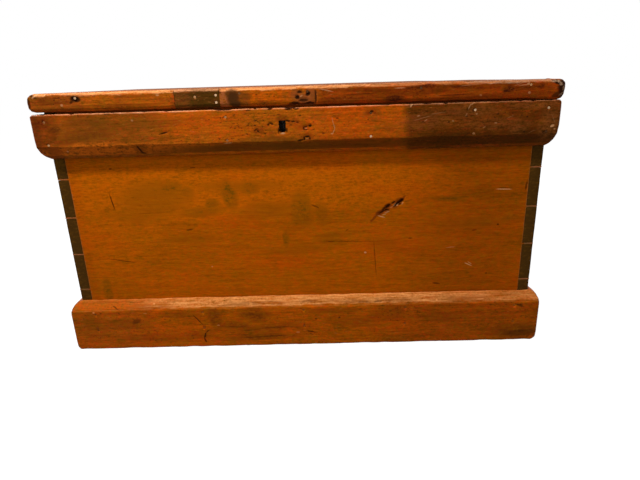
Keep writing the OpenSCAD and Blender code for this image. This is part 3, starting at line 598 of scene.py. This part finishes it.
# Marks on the band
BAND_PITS = (
    (-75, 461, 3.5, 1.4, 40, 0.8), (-70, 458, 3, 1.4, -40, 0.8), (-72, 463, 2, 1.2, 0, 0.7),
    (-50, 470, 2, 1.8, 0, 0.9), (-46, 472.5, 4, 1.3, 0, 0.9), (-42.5, 470.5, 1.8, 1.8, 0, 0.8),
    (28.5, 466, 3, 2.3, 20, 1.0), (20, 464.5, 4.6, 1.3, 15, 0.8), (16.5, 461, 1.6, 3, 0, 0.9),
    (20, 459, 4.5, 1.2, 5, 0.8), (22, 446, 5, 1.6, 5, 1.0), (27, 442.5, 1.5, 2.8, 0, 0.9),
    (16.5, 442.5, 1.7, 3.2, 0, 1.0), (9, 439.5, 6, 1.3, 12, 0.9), (10, 485, 2.6, 1.2, 0, 0.7),
    (53, 451, 2.6, 1.4, 0, 0.7), (80, 478, 2.4, 1.4, 0, 0.7), (-13, 476, 4.5, 1.6, -8, 0.9),
    (-3, 474.5, 3.5, 1.5, 0, 0.8), (5, 472.5, 4, 1.1, -20, 0.6), (-31.5, 458, 1.4, 4.5, 0, 0.8),
    (-15.6, 459, 1.4, 4.5, 0, 0.8), (-8, 468, 2.5, 1.2, 0, 0.5), (-250, 460, 9, 1.3, 14, 0.9),
    (-301, 430, 8, 2.0, -62, 0.9), (-296, 423, 6, 1.8, -20, 0.8), (145, 489, 3, 1.8, 0, 0.9),
    (241, 467, 2, 1.4, 0, 0.7), (289, 465, 2, 1.4, 0, 0.7), (322, 475, 2.4, 1.4, 0, 0.7),
    (435, 471, 2.2, 1.6, 0, 0.8), (432, 443, 2.2, 1.6, 0, 0.8), (471, 441, 5, 3.0, 20, 0.8),
    (-11, 497, 7, 1.8, 0, 0.9), (4, 497, 5, 1.5, 0, 0.8), (-46, 498, 4, 1.4, 0, 0.8),
    (-86, 497, 5, 1.4, 0, 0.7), (-30, 488, 4, 1.2, 10, 0.6),
)
BAND_PALE_AND_GLINT = (
    (71.5, 472, 8, 0.7, 101, 0.45), (74.5, 461, 5, 0.8, 92, 0.5), (72.5, 454, 4, 0.8, 60, 0.6),
    (69.5, 450.5, 2.4, 1.4, 0, 0.6), (20.5, 461.7, 2, 0.9, 0, 0.5), (22, 442, 2.2, 1.1, 0, 0.3),
    (240, 474, 16, 0.6, 14, 0.25), (268, 482, 14, 0.6, 8, 0.2), (326, 492, 5, 0.8, 68, 0.55),
    (218, 498, 4, 1.6, 60, 0.9), (331, 497, 5, 0.8, 25, 0.6), (-306, 485, 2.2, 1.8, 0, 0.35),
    # The mark at (-23.5, 453.2) on the next line is a painted glint: the lit lower inside of the keyhole
    (484, 466, 9, 0.6, -64, 0.2), (-441, 430, 2, 1.4, 0, 0.6), (-23.5, 453.2, 4.2, 1.3, 0, 1.0),
    (-129, 438, 8, 0.9, 5, 0.6), (356, 454, 3.0, 0.8, 30, 0.3), (447, 444, 7, 0.6, 20, 0.15),
    (483, 453, 3.6, 2.2, 20, 1.0), (488, 447, 2, 1.2, 0, 0.6), (232, 478, 2.4, 1.2, 10, 0.5),
    (246, 470, 3, 1.0, 30, 0.4), (297, 467, 2, 1.2, 0, 0.4), (377, 461, 2.4, 1.4, 0, 0.4),
    (404, 472, 6, 0.6, 20, 0.2), (340, 479, 2, 1.4, 0, 0.4), (321, 478, 3, 0.8, 60, 0.3),
)
BAND_SPECKS = (
    (250, 470, 40, 14, 6, 0.35), (330, 484, 40, 10, 0, 0.4), (380, 460, 50, 8, 0, 0.35),
    (480, 455, 16, 22, 0, 0.6), (450, 492, 40, 5, 0, 0.5), (418, 450, 12, 8, 0, 0.5),
)
BAND_OLIVE = (
    (-60, 442, 62, 4.5, 1, 0.8), (-400, 470, 50, 20, 0, 0.7), (-110, 428, 110, 7, 1, 0.7),
    (60, 427, 120, 8, 1, 0.6), (-260, 478, 60, 8, 2, 0.4),
)
BAND_SHADE = (
    (60, 424, 330, 15, 0.3, 0.82), (375, 434, 160, 16, 0.6, 1.0), (-130, 424, 100, 13, 0.6, 0.6),
    (400, 450, 100, 9, 1, 0.6), (440, 455, 60, 30, 0, 0.55),
)
# Painted light: brighter patches on the left part of the band's bevel, which faces down
BAND_BEVEL_PAINTED_LIGHT = ((-390, 427, 90, 15, 0, 1.0), (-270, 427, 80, 13, 0, 0.9))
BAND_BRUISES = (
    (-478, 484, 14, 9, 10, 0.9), (-455, 472, 10, 5, 0, 0.8), (-466, 430, 12, 9, 0, 0.6),
    (-440, 446, 16, 6, 10, 0.5), (-300, 432, 10, 5, 0, 0.6), (-185, 486, 14, 3, 0, 0.5),
    (-70, 460, 9, 6, 0, 0.7), (-24, 480, 10, 6, 0, 0.8), (-3, 474, 10, 4, 0, 0.7), (14, 468, 12, 7, 0, 0.5),
    (22, 446, 10, 6, 0, 0.7), (145, 488, 11, 5, 0, 0.8), (240, 468, 30, 12, 5, 0.4),
    (300, 480, 22, 6, 0, 0.5), (-395, 458, 30, 5, 4, 0.4),
)
band_wood = wood(
    "band_pine", 0, tint(168, 82, 10), tint(170, 72, 4), tint(124, 68, 10), END_GRAIN, seed=31.0,
    # worn and crown: paler edges, partly wear and partly a painted highlight
    worn=tint(189, 128, 94), **TRIM, crown=(498.0, 5.0, tint(206, 140, 100), 0.7),
    zones=[
        # The zone from -520 to -484 is painted shade on the band's rounded left end
        (-520, -448, 9, tint(116, 51, 9), 0.9), (-520, -484, 6, tint(84, 38, 10), 0.6),
        (-446, -250, 50, tint(122, 62, 10), 0.85), (50, 209, 12, tint(172, 70, 3), 0.5),
        (209, 520, 9, tint(99, 46, 6), 0.97),
    ],
    fade=[(120, 260, 1.0, 0.55)],
    marks=[
        # The first marks are painted light on the left part of the bevel
        (BAND_BEVEL_PAINTED_LIGHT, tint(190, 92, 18), 1.0, 5.0, 0.6), (BAND_SHADE, tint(54, 29, 5), 0.66, 5.0, 0.45),
        (BAND_BRUISES, tint(82, 28, 7), 0.7, 3.5, 0.6), (BAND_OLIVE, tint(82, 52, 12), 0.6, 6.0, 0.6),
        (BAND_PITS, tint(28, 14, 6), 0.95, 1.0, 0.35), (BAND_SPECKS, tint(150, 88, 40), 0.5, 5.0, 0.9),
        # Pale marks, one of them a painted glint under the keyhole
        (BAND_PALE_AND_GLINT, tint(204, 146, 98), 0.8, 1.4, 0.35),
    ],
)

# Marks on the edging
EDGING_DARK = (
    (-406, 526, 9, 5.0, -10, 1.0), (-414, 521, 4, 2.0, 30, 0.8), (7, 518, 4, 3.4, 0, 1.0),
    (27, 524, 4.5, 3.4, 30, 1.0), (12, 527, 5, 2.0, 0, 0.8), (41, 517, 1.6, 12, 0, 0.9),
    (18, 512, 9, 3.0, 0, 0.8), (-221, 521, 0.9, 17, 0, 1.0), (-138, 521, 0.9, 17, 0, 0.8),
    (2, 508, 8, 3.0, 0, 0.9), (30, 507, 9, 3.0, 0, 0.9), (-486, 534, 9, 2.0, -30, 0.8),
    (-494, 520, 3, 9, 0, 0.8), (497, 521, 11, 22, 0, 1.0), (486, 531, 12, 4, -20, 1.0),
    (484, 509, 8, 4, 20, 0.8), (-440, 529, 7, 1.5, 0, 0.6), (120, 520, 30, 1.4, 1, 0.5),
    (300, 514, 30, 1.4, 1, 0.5),
)
EDGING_PALE = (
    (-433, 516, 2.4, 2.0, 0, 0.6), (-480, 534, 7, 1.6, 30, 0.8), (-252, 529, 3, 1.4, 0, 0.6),
    (434, 514, 2.4, 2.0, 0, 0.5), (426, 528, 12, 0.9, 5, 0.5), (345, 512, 2.2, 1.6, 0, 0.3),
    (14, 520, 3, 1.0, 30, 0.6), (431, 530, 3, 1.4, 20, 0.8), (60, 529, 12, 1.0, -12, 0.6),
    (196, 529, 9, 1.0, 0, 0.6), (330, 531, 22, 0.8, 4, 0.3), (415, 530, 10, 0.8, 20, 0.3),
)
EDGING_KNOTS = (
    (186, 511, 12, 4.5, 0, 0.9), (190, 513, 6, 2, 10, 0.8), (395, 521, 9, 6.0, 10, 1.0),
    (401, 518, 5, 3, 0, 0.7), (222, 528, 14, 3.0, 0, 0.8), (245, 531, 9, 2.4, 0, 0.8),
    (455, 527, 8, 3.5, 0, 0.6), (300, 529, 10, 2.0, 0, 0.5),
)
EDGING_FUZZ = (
    (488, 530, 6, 2.0, -38, 0.85), (496, 519, 1.6, 5, 0, 0.35), (493, 510, 4, 1.6, 30, 0.25),
    (478, 533, 7, 1.6, 0, 0.6), (400, 533, 40, 1.4, 0, 0.4),
)
EDGING_TAN = ((-131, 519, 7, 13, 8, 1.0), (-126, 511, 6, 6, 0, 0.9), (-134, 529, 5, 5, 0, 0.7))
EDGING_SMEARS = (
    (-112, 521, 11, 14, 6, 1.0), (-108, 509, 9, 7, 0, 1.0), (-94, 522, 13, 8, 0, 0.55),
    (-92, 512, 10, 5, 0, 0.4), (-120, 528, 7, 5, 0, 0.8),
)
EDGING_SCAR = (
    (6, 522, 11, 8, 5, 0.8), (22, 514, 16, 9, 0, 1.0), (33, 523, 9, 10, 0, 0.9), (12, 511, 10, 5, 0, 0.8),
)
EDGING_STREAKS = (
    (105, 514, 50, 3.5, 1, 0.7), (150, 527, 60, 3.0, -1, 0.6), (232, 521, 50, 4.5, 2, 0.7),
    (255, 530, 36, 3.5, 0, 0.8), (330, 527, 44, 3.0, -2, 0.7), (340, 512, 60, 3.0, 1, 0.6),
    (430, 523, 34, 3.5, 0, 0.8), (440, 513, 40, 3.5, 0, 0.6), (384, 531, 34, 2.5, 0, 0.7),
    (-330, 513, 60, 2.5, 0, 0.5), (-440, 521, 26, 2.5, 5, 0.6), (-290, 528, 40, 2.0, 0, 0.4),
    (-462, 526, 12, 5, 0, 0.6), (-40, 512, 26, 2.0, 0, 0.5), (186, 511, 16, 6, 0, 0.8),
)
edging_wood = wood(
    "edging_pine", 0, tint(164, 79, 10), tint(168, 70, 5), tint(116, 62, 10), END_GRAIN, seed=41.0,
    # worn and crown: paler edges, partly wear and partly a painted highlight; top: painted shade on upper
    # faces
    worn=tint(222, 152, 98), crown=(532.5, 13.0, tint(214, 142, 84), 0.9), top=(tint(124, 78, 42), 0.8),
    **(TRIM | dict(face=EDGING_FACE)),
    zones=[
        (-520, -395, 20, tint(130, 62, 12), 0.8), (-229, -219, 3, tint(140, 52, 14), 0.6),
        (-81, -4, 8, tint(184, 82, 5), 0.9), (46, 520, 12, tint(146, 58, 6), 0.9),
    ],
    fade=[(60, 190, 1.0, 0.4), (-440, -340, 0.75, 1.0)],
    marks=[
        (EDGING_TAN, tint(156, 86, 46), 0.8, 4.0, 0.6), (EDGING_SMEARS, tint(62, 36, 15), 0.95, 5.0, 0.5),
        (EDGING_SCAR, tint(128, 66, 30), 0.75, 4.0, 0.5), (EDGING_STREAKS, tint(76, 27, 6), 0.8, 3.0, 0.7),
        (EDGING_KNOTS, tint(62, 22, 9), 0.85, 3.0, 0.6), (EDGING_DARK, tint(30, 14, 6), 0.95, 1.6, 0.35),
        (EDGING_FUZZ, tint(186, 146, 112), 0.9, 3.0, 0.55),
        (EDGING_PALE, tint(206, 146, 98), 0.75, 0.8, 0.35),
    ],
)
repair_wood = wood(
    # worn and crown: paler edges, partly wear and partly a painted highlight; top: painted shade on upper
    # faces
    "repair_pine", 0, tint(74, 44, 9), tint(70, 42, 9), tint(60, 42, 11), END_GRAIN, worn=tint(189, 128, 94),
    seed=53.0, zones=[(-230, -196, 8, tint(112, 60, 17), 0.7)], crown=(533.5, 7.0, tint(190, 126, 84), 0.7),
    top=(tint(118, 76, 44), 0.8), **(TRIM | dict(face=EDGING_FACE, dashes=0.0)),
)

# Marks on the plinth
PLINTH_DARK = (
    (-228, 66, 14, 1.2, -52, 0.9), (-216, 28, 7, 1.8, 70, 1.0), (-217, 17, 6, 1.8, 105, 0.9),
    (-210, 38, 5, 1.4, 35, 0.8), (-150, 47, 30, 1.2, -2, 0.5), (-60, 44, 30, 1.2, 2, 0.5),
    (-120, 38, 22, 1.2, 3, 0.5), (-90, 22, 46, 1.6, 2, 0.5), (-140, 28, 26, 1.2, -3, 0.5),
    (14, 32, 9, 2.0, -12, 0.9), (26, 62, 2.4, 1.8, 0, 0.8), (76, 64, 2.4, 2.0, 0, 0.8),
    (458, 83, 9, 2.0, -20, 0.8), (466, 18, 34, 7.0, 4, 0.55), (-402, 97, 8, 1.2, -30, 0.8),
    (-360, 66, 10, 5.0, 25, 0.6), (160, 98, 9, 1.2, 6, 0.6), (180, 92, 12, 1.0, 10, 0.5),
)
PLINTH_PALE = (
    (-320, 103, 2.2, 1.8, 0, 1.0), (-450, 88, 2.4, 1.6, 0, 0.8), (283, 98, 2.0, 1.8, 0, 0.9),
    (375, 98, 8, 1.0, 0, 0.7), (-14, 31, 4, 1.6, 0, 0.5), (-185, 52, 3, 1.2, 0, 0.6),
    (-340, 84, 4, 1.2, 0, 0.4),
)
PLINTH_STAINS = (
    (-190, 66, 11, 20, 15, 0.8), (-104, 74, 26, 12, -6, 0.8), (-60, 42, 60, 9, 2, 0.6),
    (-150, 50, 26, 6, -3, 0.7), (-230, 30, 30, 7, 4, 0.5), (-90, 22, 70, 6, 2, 0.7),
    (110, 52, 40, 10, 0, 0.4), (180, 72, 30, 12, 10, 0.45), (300, 60, 40, 9, 0, 0.4),
    (-380, 60, 40, 9, 0, 0.35), (-455, 50, 22, 24, 0, 0.3), (-330, 25, 60, 7, 0, 0.4),
    (455, 22, 40, 14, 0, 0.7), (60, 80, 50, 6, 0, 0.4), (-270, 78, 30, 5, 0, 0.4), (-100, 99, 60, 3, 1, 0.6),
    (150, 100, 70, 3, 0, 0.7), (-330, 98, 40, 4, 0, 0.5), (330, 99, 50, 4, 0, 0.5),
    (20, 101, 40, 2.5, 0, 0.6),
)
PLINTH_ORANGE = (
    (-34, 34, 14, 7, 0, 0.9), (20, 46, 30, 6, 0, 0.6), (-300, 50, 50, 8, 0, 0.4), (240, 40, 50, 8, 0, 0.4),
    (-420, 100, 60, 6, 0, 0.5),
)
plinth_wood = wood(
    "plinth_pine", 0, tint(165, 77, 2), tint(166, 69, 1), tint(134, 74, 3), END_GRAIN, seed=61.0,
    # worn and crown: paler edges and bevel, partly wear and partly a painted sheen from the lamp above
    worn=tint(190, 112, 50), rub=0.3, crown=(94.5, 9.0, tint(208, 134, 72), 0.82),
    fade=[(-400, -250, 0.1, 1.0), (200, 420, 1.0, 0.6)],
    **(TRIM | dict(face=PLINTH_FACE, specks=0.5, uneven=1.35)),
    zones=[(180, 520, 60, tint(140, 64, 4), 0.8), (-520, -330, 40, tint(150, 72, 10), 0.6)],
    marks=[
        (PLINTH_STAINS, tint(82, 42, 8), 0.7, 6.0, 0.7), (PLINTH_ORANGE, tint(190, 78, 4), 0.7, 5.0, 0.6),
        (PLINTH_DARK, tint(44, 22, 6), 0.85, 2.0, 0.35), (PLINTH_PALE, tint(206, 130, 70), 0.9, 0.8, 0.35),
    ],
)
trim_side_wood = wood(
    "trim_side_pine", 1, tint(150, 72, 10), tint(150, 62, 6), tint(112, 62, 12), END_GRAIN,
    worn=tint(172, 102, 54), rub=0.45, seed=71.0, **TRIM,
)


def plain_metal(name, base, dull, rust, roughness, metallic):
    g = Graph(name, roughness=roughness, metallic=metallic, specular=0.4, spec_tint=(1, 1, 1, 1))
    spots = g.noise((3.0, 3.0, 3.0), 4.0, 0.65)
    wide = g.noise((16.0, 16.0, 16.0), 3.0, 0.6, 0.0, (4.0, 1.0, 2.0))
    colour = g.mix(g.range(wide, 0.35, 0.65), base, dull)
    colour = g.mix(g.math("MULTIPLY", g.range(spots, 0.5, 0.66), 0.8), colour, rust)
    return g.finish(colour, spots, 0.3, g.range(spots, 0.35, 0.65, roughness - 0.08, roughness + 0.15))


iron = plain_metal("old_iron", tint(84, 78, 72), tint(54, 50, 47), tint(92, 52, 28), 0.5, 0.85)
# Painted shade: the lock's iron is made nearly black, so that the keyhole reads dark
lock_iron_painted_shade = plain_metal("lock_iron", tint(40, 36, 33), tint(24, 22, 20), tint(52, 32, 20), 0.6, 0.6)
steel = plain_metal("screw_iron", tint(120, 112, 102), tint(80, 74, 66), tint(96, 60, 34), 0.45, 0.85)
brass = plain_metal("old_brass", tint(176, 138, 74), tint(132, 98, 46), tint(84, 62, 34), 0.4, 0.9)


def filler(name, dirty, pale, bright=(), dark=()):
    """Pale filler over the nail heads, some of it dirty or gone.

    bright and dark: (x, z, strength) of such nails"""
    g = Graph(name, roughness=0.6, specular=0.1)
    each = g.noise((38.0, 38.0, 38.0), 0.0, 0.5, 0.0, (3.3, 1.7, 8.1))
    grit = g.noise((1.6, 1.6, 1.6), 3.0, 0.6)
    colour = g.mix(g.range(each, 0.35, 0.6), dirty, pale)
    for nails, tone in ((bright, tint(216, 176, 136)), (dark, tint(52, 28, 12))):
        if nails:
            spots = [(x, z, NAIL_REACH, NAIL_REACH, 0, strength) for x, z, strength in nails]
            colour = g.mix(g.marks(spots, BAND_FACE, g.place), colour, tone)
    colour = g.mix(g.range(grit, 0.5, 0.72), colour, tint(120, 76, 44))
    return g.finish(colour, grit, 0.3)


NAILS_BRIGHT = ((-144, 526, 1), (-144, 513, 1), (337, 486, 1), (473, 486, 1), (143, 443, 1), (-406, 528, 0.6))
NAILS_DARK = ((473, 443, 0.9), (143, 486, 0.8), (26, 528, 0.9), (235, 528, 0.8), (-100, 528, 0.7))
nail_fill = filler("nail_filler", tint(142, 92, 54), tint(190, 138, 92), NAILS_BRIGHT, NAILS_DARK)
stained_fill = filler("stained_filler", tint(112, 54, 8), tint(140, 72, 18))

# Pieces: outlines of the trim as (height, place), its own and the worn ones of its left and right ends

BAND_OUTER = ((415, 486), (439, 498), (497.5, 498), (500, 495.5))
BAND_FRONT_AT = ((415, -268.5), (439, -280.5), (497.5, -280.5), (500, -278))
BAND_LEFT = ((415, 479), (417, 484), (421, 491), (428, 496.5), (439, 499), (455, 500), (496, 500), (500, 496))
BAND_RIGHT = (
    (415, 479), (417, 483), (420, 487), (426, 491.5), (432, 494), (439, 495.5), (455, 497.5), (485, 497.5),
    (496, 497), (500, 494.5),
)
EDGING_OUTER = ((503.5, 490.5), (505.8, 496.2), (511.5, 498.5), (531, 498.5), (536, 496.4), (538, 491.5))
EDGING_FRONT_AT = ((503.5, -273), (505.8, -278.7), (511.5, -281), (531, -281), (536, -279), (538, -274))
EDGING_LEFT = ((503.5, 489), (506, 494.5), (511, 497.5), (521, 498.5), (530, 497), (535, 492), (538, 485))
EDGING_RIGHT = ((503.5, 491), (506, 495), (511, 498.5), (521, 500), (530, 499.5), (535, 495), (538, 487))
PLINTH_OUTER = ((0, 500), (93, 500), (111, 486))
PLINTH_FRONT_AT = ((0, -282.5), (93, -282.5), (111, -268.5))
PLINTH_LEFT = (
    (0, 492), (2.5, 496.5), (6, 499), (12, 500), (84, 500), (90, 499), (97, 496.5), (103, 493), (107, 489),
    (111, 481),
)
PLINTH_RIGHT = (
    (0, 488), (2.5, 494), (6, 498), (12, 500), (84, 500), (90, 499.5), (97, 498), (103, 495), (107, 492),
    (111, 485),
)


def wavy_arris(p, arris, seed):
    """Moves the arris between a trim's face and its bevel up and down a little along its length."""
    q = p.copy()
    sway = 2.4 * (rough(p, (48, 60, 400), seed, 3) - 0.5) * 2
    q[:, 2] += sway * ease(np.abs(p[:, 2] - arris), 9, 0)
    return q


def plinth_wear(p):
    """The plinth's worn corners and its wavy bevel."""
    q = wavy_arris(p, PLINTH_ARRIS, 331)
    return moulded_ends(PLINTH_LEFT, PLINTH_RIGHT, PLINTH_OUTER, PLINTH_FRONT_AT)(q)


def band_chips(p):
    """The band's worn corners and wavy bevel, and an upper edge chipped most over the keyhole."""
    q = moulded_ends(BAND_LEFT, BAND_RIGHT, BAND_OUTER, BAND_FRONT_AT)(wavy_arris(p, BAND_ARRIS, 321))
    # Chips, and the dip over the keyhole
    notch = 2.4 * ease(rough(q, (9, 400, 400), 301, 2), 0.55, 0.8)
    notch += 2.0 * ease(np.abs(q[:, 0] - KEYHOLE_X), 15, 4)
    q[:, 2] = np.minimum(q[:, 2], BAND_TOP - notch * ease(q[:, 1], -273, -279))
    return q


def edging_chips(p):
    """The edging's worn corners, chipped edges and low right end, and its sides worn down to the back."""
    q = moulded_ends(EDGING_LEFT, EDGING_RIGHT, EDGING_OUTER, EDGING_FRONT_AT)(p)
    x = q[:, 0]
    # Lower arris, broken away most where the hasp was
    near_front = ease(q[:, 1], -268, -277)
    foot = 4.2 * ease(np.abs(x - SCAR_X), 30, 20) * (0.55 + 0.9 * rough(q, (7, 400, 400), 311, 2))
    foot += 1.2 * ease(rough(q, (16, 400, 400), 313, 2), 0.5, 0.8)
    q[:, 2] = np.maximum(q[:, 2], EDGING_FOOT + foot * near_front)
    # Low right end
    q[:, 2] -= 3.1 * ease(x, 430, 474) * ease(q[:, 2], 514, 507)
    # Upper arris: lower at the right, chipped in front and rounded, with sides that sink towards the back
    lowered = 2.3 * ease(x, 314, 320) * ease(x, 492, 470)
    notch = 3.2 * ease(rough(q, (10, 400, 400), 317, 3), 0.52, 0.78) * ease(q[:, 1], -271, -279)
    arris = 2.2 * ease(q[:, 1], -272, -281)
    back_end = np.where(x < 0, 150, 290)
    sunk = np.where(x < 0, 0.3 + 4.2 * ease(q[:, 1], -130, 150), 1.2 + 3.0 * ease(q[:, 1], -281, 276))
    arris = np.maximum(arris, sunk * ease(np.abs(x), 478, 481) * ease(q[:, 1], back_end + 14, back_end))
    q[:, 2] = np.minimum(q[:, 2], LID_TOP - arris - (notch + lowered) * ease(q[:, 1], -255, -268))
    return q


def closed_joints(axis, joints, gap):
    """Keeps planks touching where wear would open their joints."""

    def mould(p):
        q = p.copy()
        for joint in joints:
            here = np.abs(p[:, axis] - joint) < gap
            q[here, axis] = joint + 0.02 * np.sign(joint - p[:, axis].mean())
        return q

    return mould


def lid_wear(p):
    """Closed joints, and a top that is a little lower at its right end."""
    q = closed_joints(1, LID_JOINTS, 0.5)(p)
    q[:, 2] -= 1.6 * ease(p[:, 0], *LID_STEP) * ease(p[:, 2], 526, 536)
    return q


TRIMS = {
    "plinth": dict(
        body="box", material=plinth_wood, arris=1.8, wear=1.0, height=9, step=8, mould=plinth_wear,
        extra=pits([(PLINTH_DARK[:2], 1.2)], PLINTH_FACE), windows={2: [(84, 111, 2.5), (0, 9, 2.5)]},
    ),
    "band": dict(
        body="box", material=band_wood, arris=1.6, wear=0.9, height=7, step=6, mould=band_chips,
        extra=pits([(BAND_PITS, 1.6)], BAND_FACE),
        windows={0: [(-78, 34, 2.0), (454, 498, 4), (-498, -454, 4)], 2: [(436, 480, 2.6), (492, 499, 1.7)]},
    ),
    "edging": dict(
        body="lid", material=edging_wood, arris=1.0, wear=1.3, height=3.2, step=5, mould=edging_chips,
        extra=pits([(EDGING_DARK[:7], 1.8)], EDGING_FACE),
        windows={0: [(-416, -396, 2.0), (-4, 46, 2.0), (484, 498, 3), (-498, -484, 3)]},
    ),
}
CORNER_WINDOW = (-282, -222, 4.0)
SIDE_STEP = 1.6
gouge = pits([(BOARD_GOUGE, 3.6), (BOARD_SCRATCHES, 0.5)], FRONT)
shape_piece(
    "front_board", "box", board_wood, (9, 0, 9), 0.5, 0.3, seed=3, extra=gouge,
    windows={0: [(138, 222, 1.9)], 2: [(262, 326, 1.9)]},
)
shape_piece("back_board", "box", back_wood, (16, 0, 14), 0.5, 0.3, seed=4)
for side in ("left", "right"):
    shape_piece(f"{side}_side_board", "box", side_wood, (0, 14, 10), 0.5, 0.3, seed=5)
for k in range(1, 7):
    shape_piece(
        f"bottom_plank_{k}", "box", bottom_wood, (40, 30, 0), 0.6, 0.3, seed=20 + k,
        mould=closed_joints(0, BOTTOM_JOINTS, 0.9),
    )
for part, t in TRIMS.items():
    for where in ("front", "left", "right") + (("back",) if part == "plinth" else ()):
        along_x = where in ("front", "back")
        cuts = (t["step"], 0, t["height"]) if along_x else (0, t["step"] * SIDE_STEP, t["height"])
        windows = {a: w for a, w in t["windows"].items() if a == 2 or where == "front"}
        if not along_x:
            windows[1] = [CORNER_WINDOW]
        shape_piece(
            f"{part}_{where}", t["body"], t["material"] if along_x else trim_side_wood, cuts,
            t["arris"], t["wear"], seed=30 + len(where), windows=windows,
            extra=t["extra"] if where == "front" else None, mould=t["mould"],
        )
shape_piece(
    "edging_repair", "lid", repair_wood, (4, 0, 3.2), 0.7, 1.0, seed=44, mould=edging_chips,
)
for where in ("front", "middle", "back"):
    shape_piece(
        f"lid_plank_{where}", "lid", lid_wood, (14, 12, 0), 0.8, 0.5, seed=50, mould=lid_wear,
        windows={0: [(314, 356, 6)]},
    )


def finish_of(name):
    """The material of a piece that keeps its own solid."""
    if name in ("plinth_nails", "bottom_nails"):
        return stained_fill
    if "nails" in name:
        return nail_fill
    if "screws" in name:
        return steel
    # The lock's parts take the iron darkened as painted shade
    if name in ("lock_box", "lock_ward", "lock_key_pin", "lock_spring"):
        return lock_iron_painted_shade
    return brass if name == "lock_bolt" else iron


for name, node in NODES.items():
    if not node.hide_render:
        node.data.materials.clear()
        node.data.materials.append(finish_of(name))

# Stage


def seen_directly(tree):
    """1 for the rays that show a thing itself, 0 for those that carry its light."""
    path = tree.nodes.new("ShaderNodeLightPath")
    total = path.outputs["Is Camera Ray"]
    for ray in ("Is Glossy Ray", "Is Transmission Ray"):
        node = tree.nodes.new("ShaderNodeMath")
        node.operation = "ADD"
        node.use_clamp = True
        tree.links.new(total, node.inputs[0])
        tree.links.new(path.outputs[ray], node.inputs[1])
        total = node.outputs[0]
    return total


def material_of_floor():
    """A floor that keeps the shadow, is shown nearly white and throws little light back."""
    material = bpy.data.materials.new("floor_white")
    material.use_nodes = True
    tree = material.node_tree
    tree.nodes.clear()
    add, link = tree.nodes.new, tree.links.new
    glow = add("ShaderNodeEmission")
    glow.inputs[1].default_value = FLOOR_GLOW
    shade = add("ShaderNodeBsdfDiffuse")
    shade.inputs[0].default_value = (0.8, 0.8, 0.8, 1)
    shown = add("ShaderNodeMixShader")
    shown.inputs[0].default_value = FLOOR_SHOWN_DIFFUSE
    link(glow.outputs[0], shown.inputs[1])
    link(shade.outputs[0], shown.inputs[2])
    dim = add("ShaderNodeBsdfDiffuse")
    dim.inputs[0].default_value = (FLOOR_DIFFUSE, FLOOR_DIFFUSE, FLOOR_DIFFUSE, 1)
    pick = add("ShaderNodeMixShader")
    link(seen_directly(tree), pick.inputs[0])
    link(dim.outputs[0], pick.inputs[1])
    link(shown.outputs[0], pick.inputs[2])
    link(pick.outputs[0], add("ShaderNodeOutputMaterial").inputs[0])
    return material


def make_stage():
    bpy.ops.mesh.primitive_plane_add(size=FLOOR_SIZE, location=(0, 0, 0))
    floor = bpy.context.object
    floor.name = "floor"
    floor.data.materials.append(material_of_floor())
    world = bpy.data.worlds.new("sky")
    bpy.context.scene.world = world
    world.use_nodes = True
    tree = world.node_tree
    background = tree.nodes["Background"]
    level = tree.nodes.new("ShaderNodeMapRange")
    level.inputs[3].default_value = SKY_LEVEL
    level.inputs[4].default_value = 1.0
    tree.links.new(seen_directly(tree), level.inputs[0])
    tree.links.new(level.outputs[0], background.inputs["Strength"])
    background.inputs["Color"].default_value = (1, 1, 1, 1)


def lamp(name, place, aim, size, power):
    data = bpy.data.lights.new(name, "AREA")
    data.size = size
    data.energy = power
    lamp_object = bpy.data.objects.new(name, data)
    bpy.context.scene.collection.objects.link(lamp_object)
    lamp_object.location = place
    lamp_object.rotation_mode = "QUATERNION"
    lamp_object.rotation_quaternion = (Vector(aim) - Vector(place)).to_track_quat("-Z", "Y")


def make_camera():
    data = bpy.data.cameras.new("camera")
    camera = bpy.data.objects.new("camera", data)
    bpy.context.scene.collection.objects.link(camera)
    a, b, c = (math.radians(v) for v in (CAMERA_YAW, CAMERA_PITCH, CAMERA_ROLL))
    forward = Vector((math.sin(a) * math.cos(b), math.cos(a) * math.cos(b), math.sin(b)))
    right = Vector((math.cos(a), -math.sin(a), 0))
    up = right.cross(forward)
    turned_right = right * math.cos(c) + up * math.sin(c)
    turned_up = up * math.cos(c) - right * math.sin(c)
    turn = Matrix((turned_right, turned_up, -forward)).transposed().to_4x4()
    camera.matrix_world = Matrix.Translation(CAMERA_PLACE) @ turn
    data.lens = CAMERA_LENS
    data.sensor_width = CAMERA_SENSOR
    data.shift_x, data.shift_y = CAMERA_SHIFT
    data.clip_start, data.clip_end = 0.05, 100.0
    bpy.context.scene.camera = camera


make_stage()
lamp("key", *KEY_LAMP)
for number, values in enumerate(BACK_LAMPS):
    lamp(f"back_{number}", *values)
make_camera()
bpy.context.scene.view_settings.view_transform = "Standard"
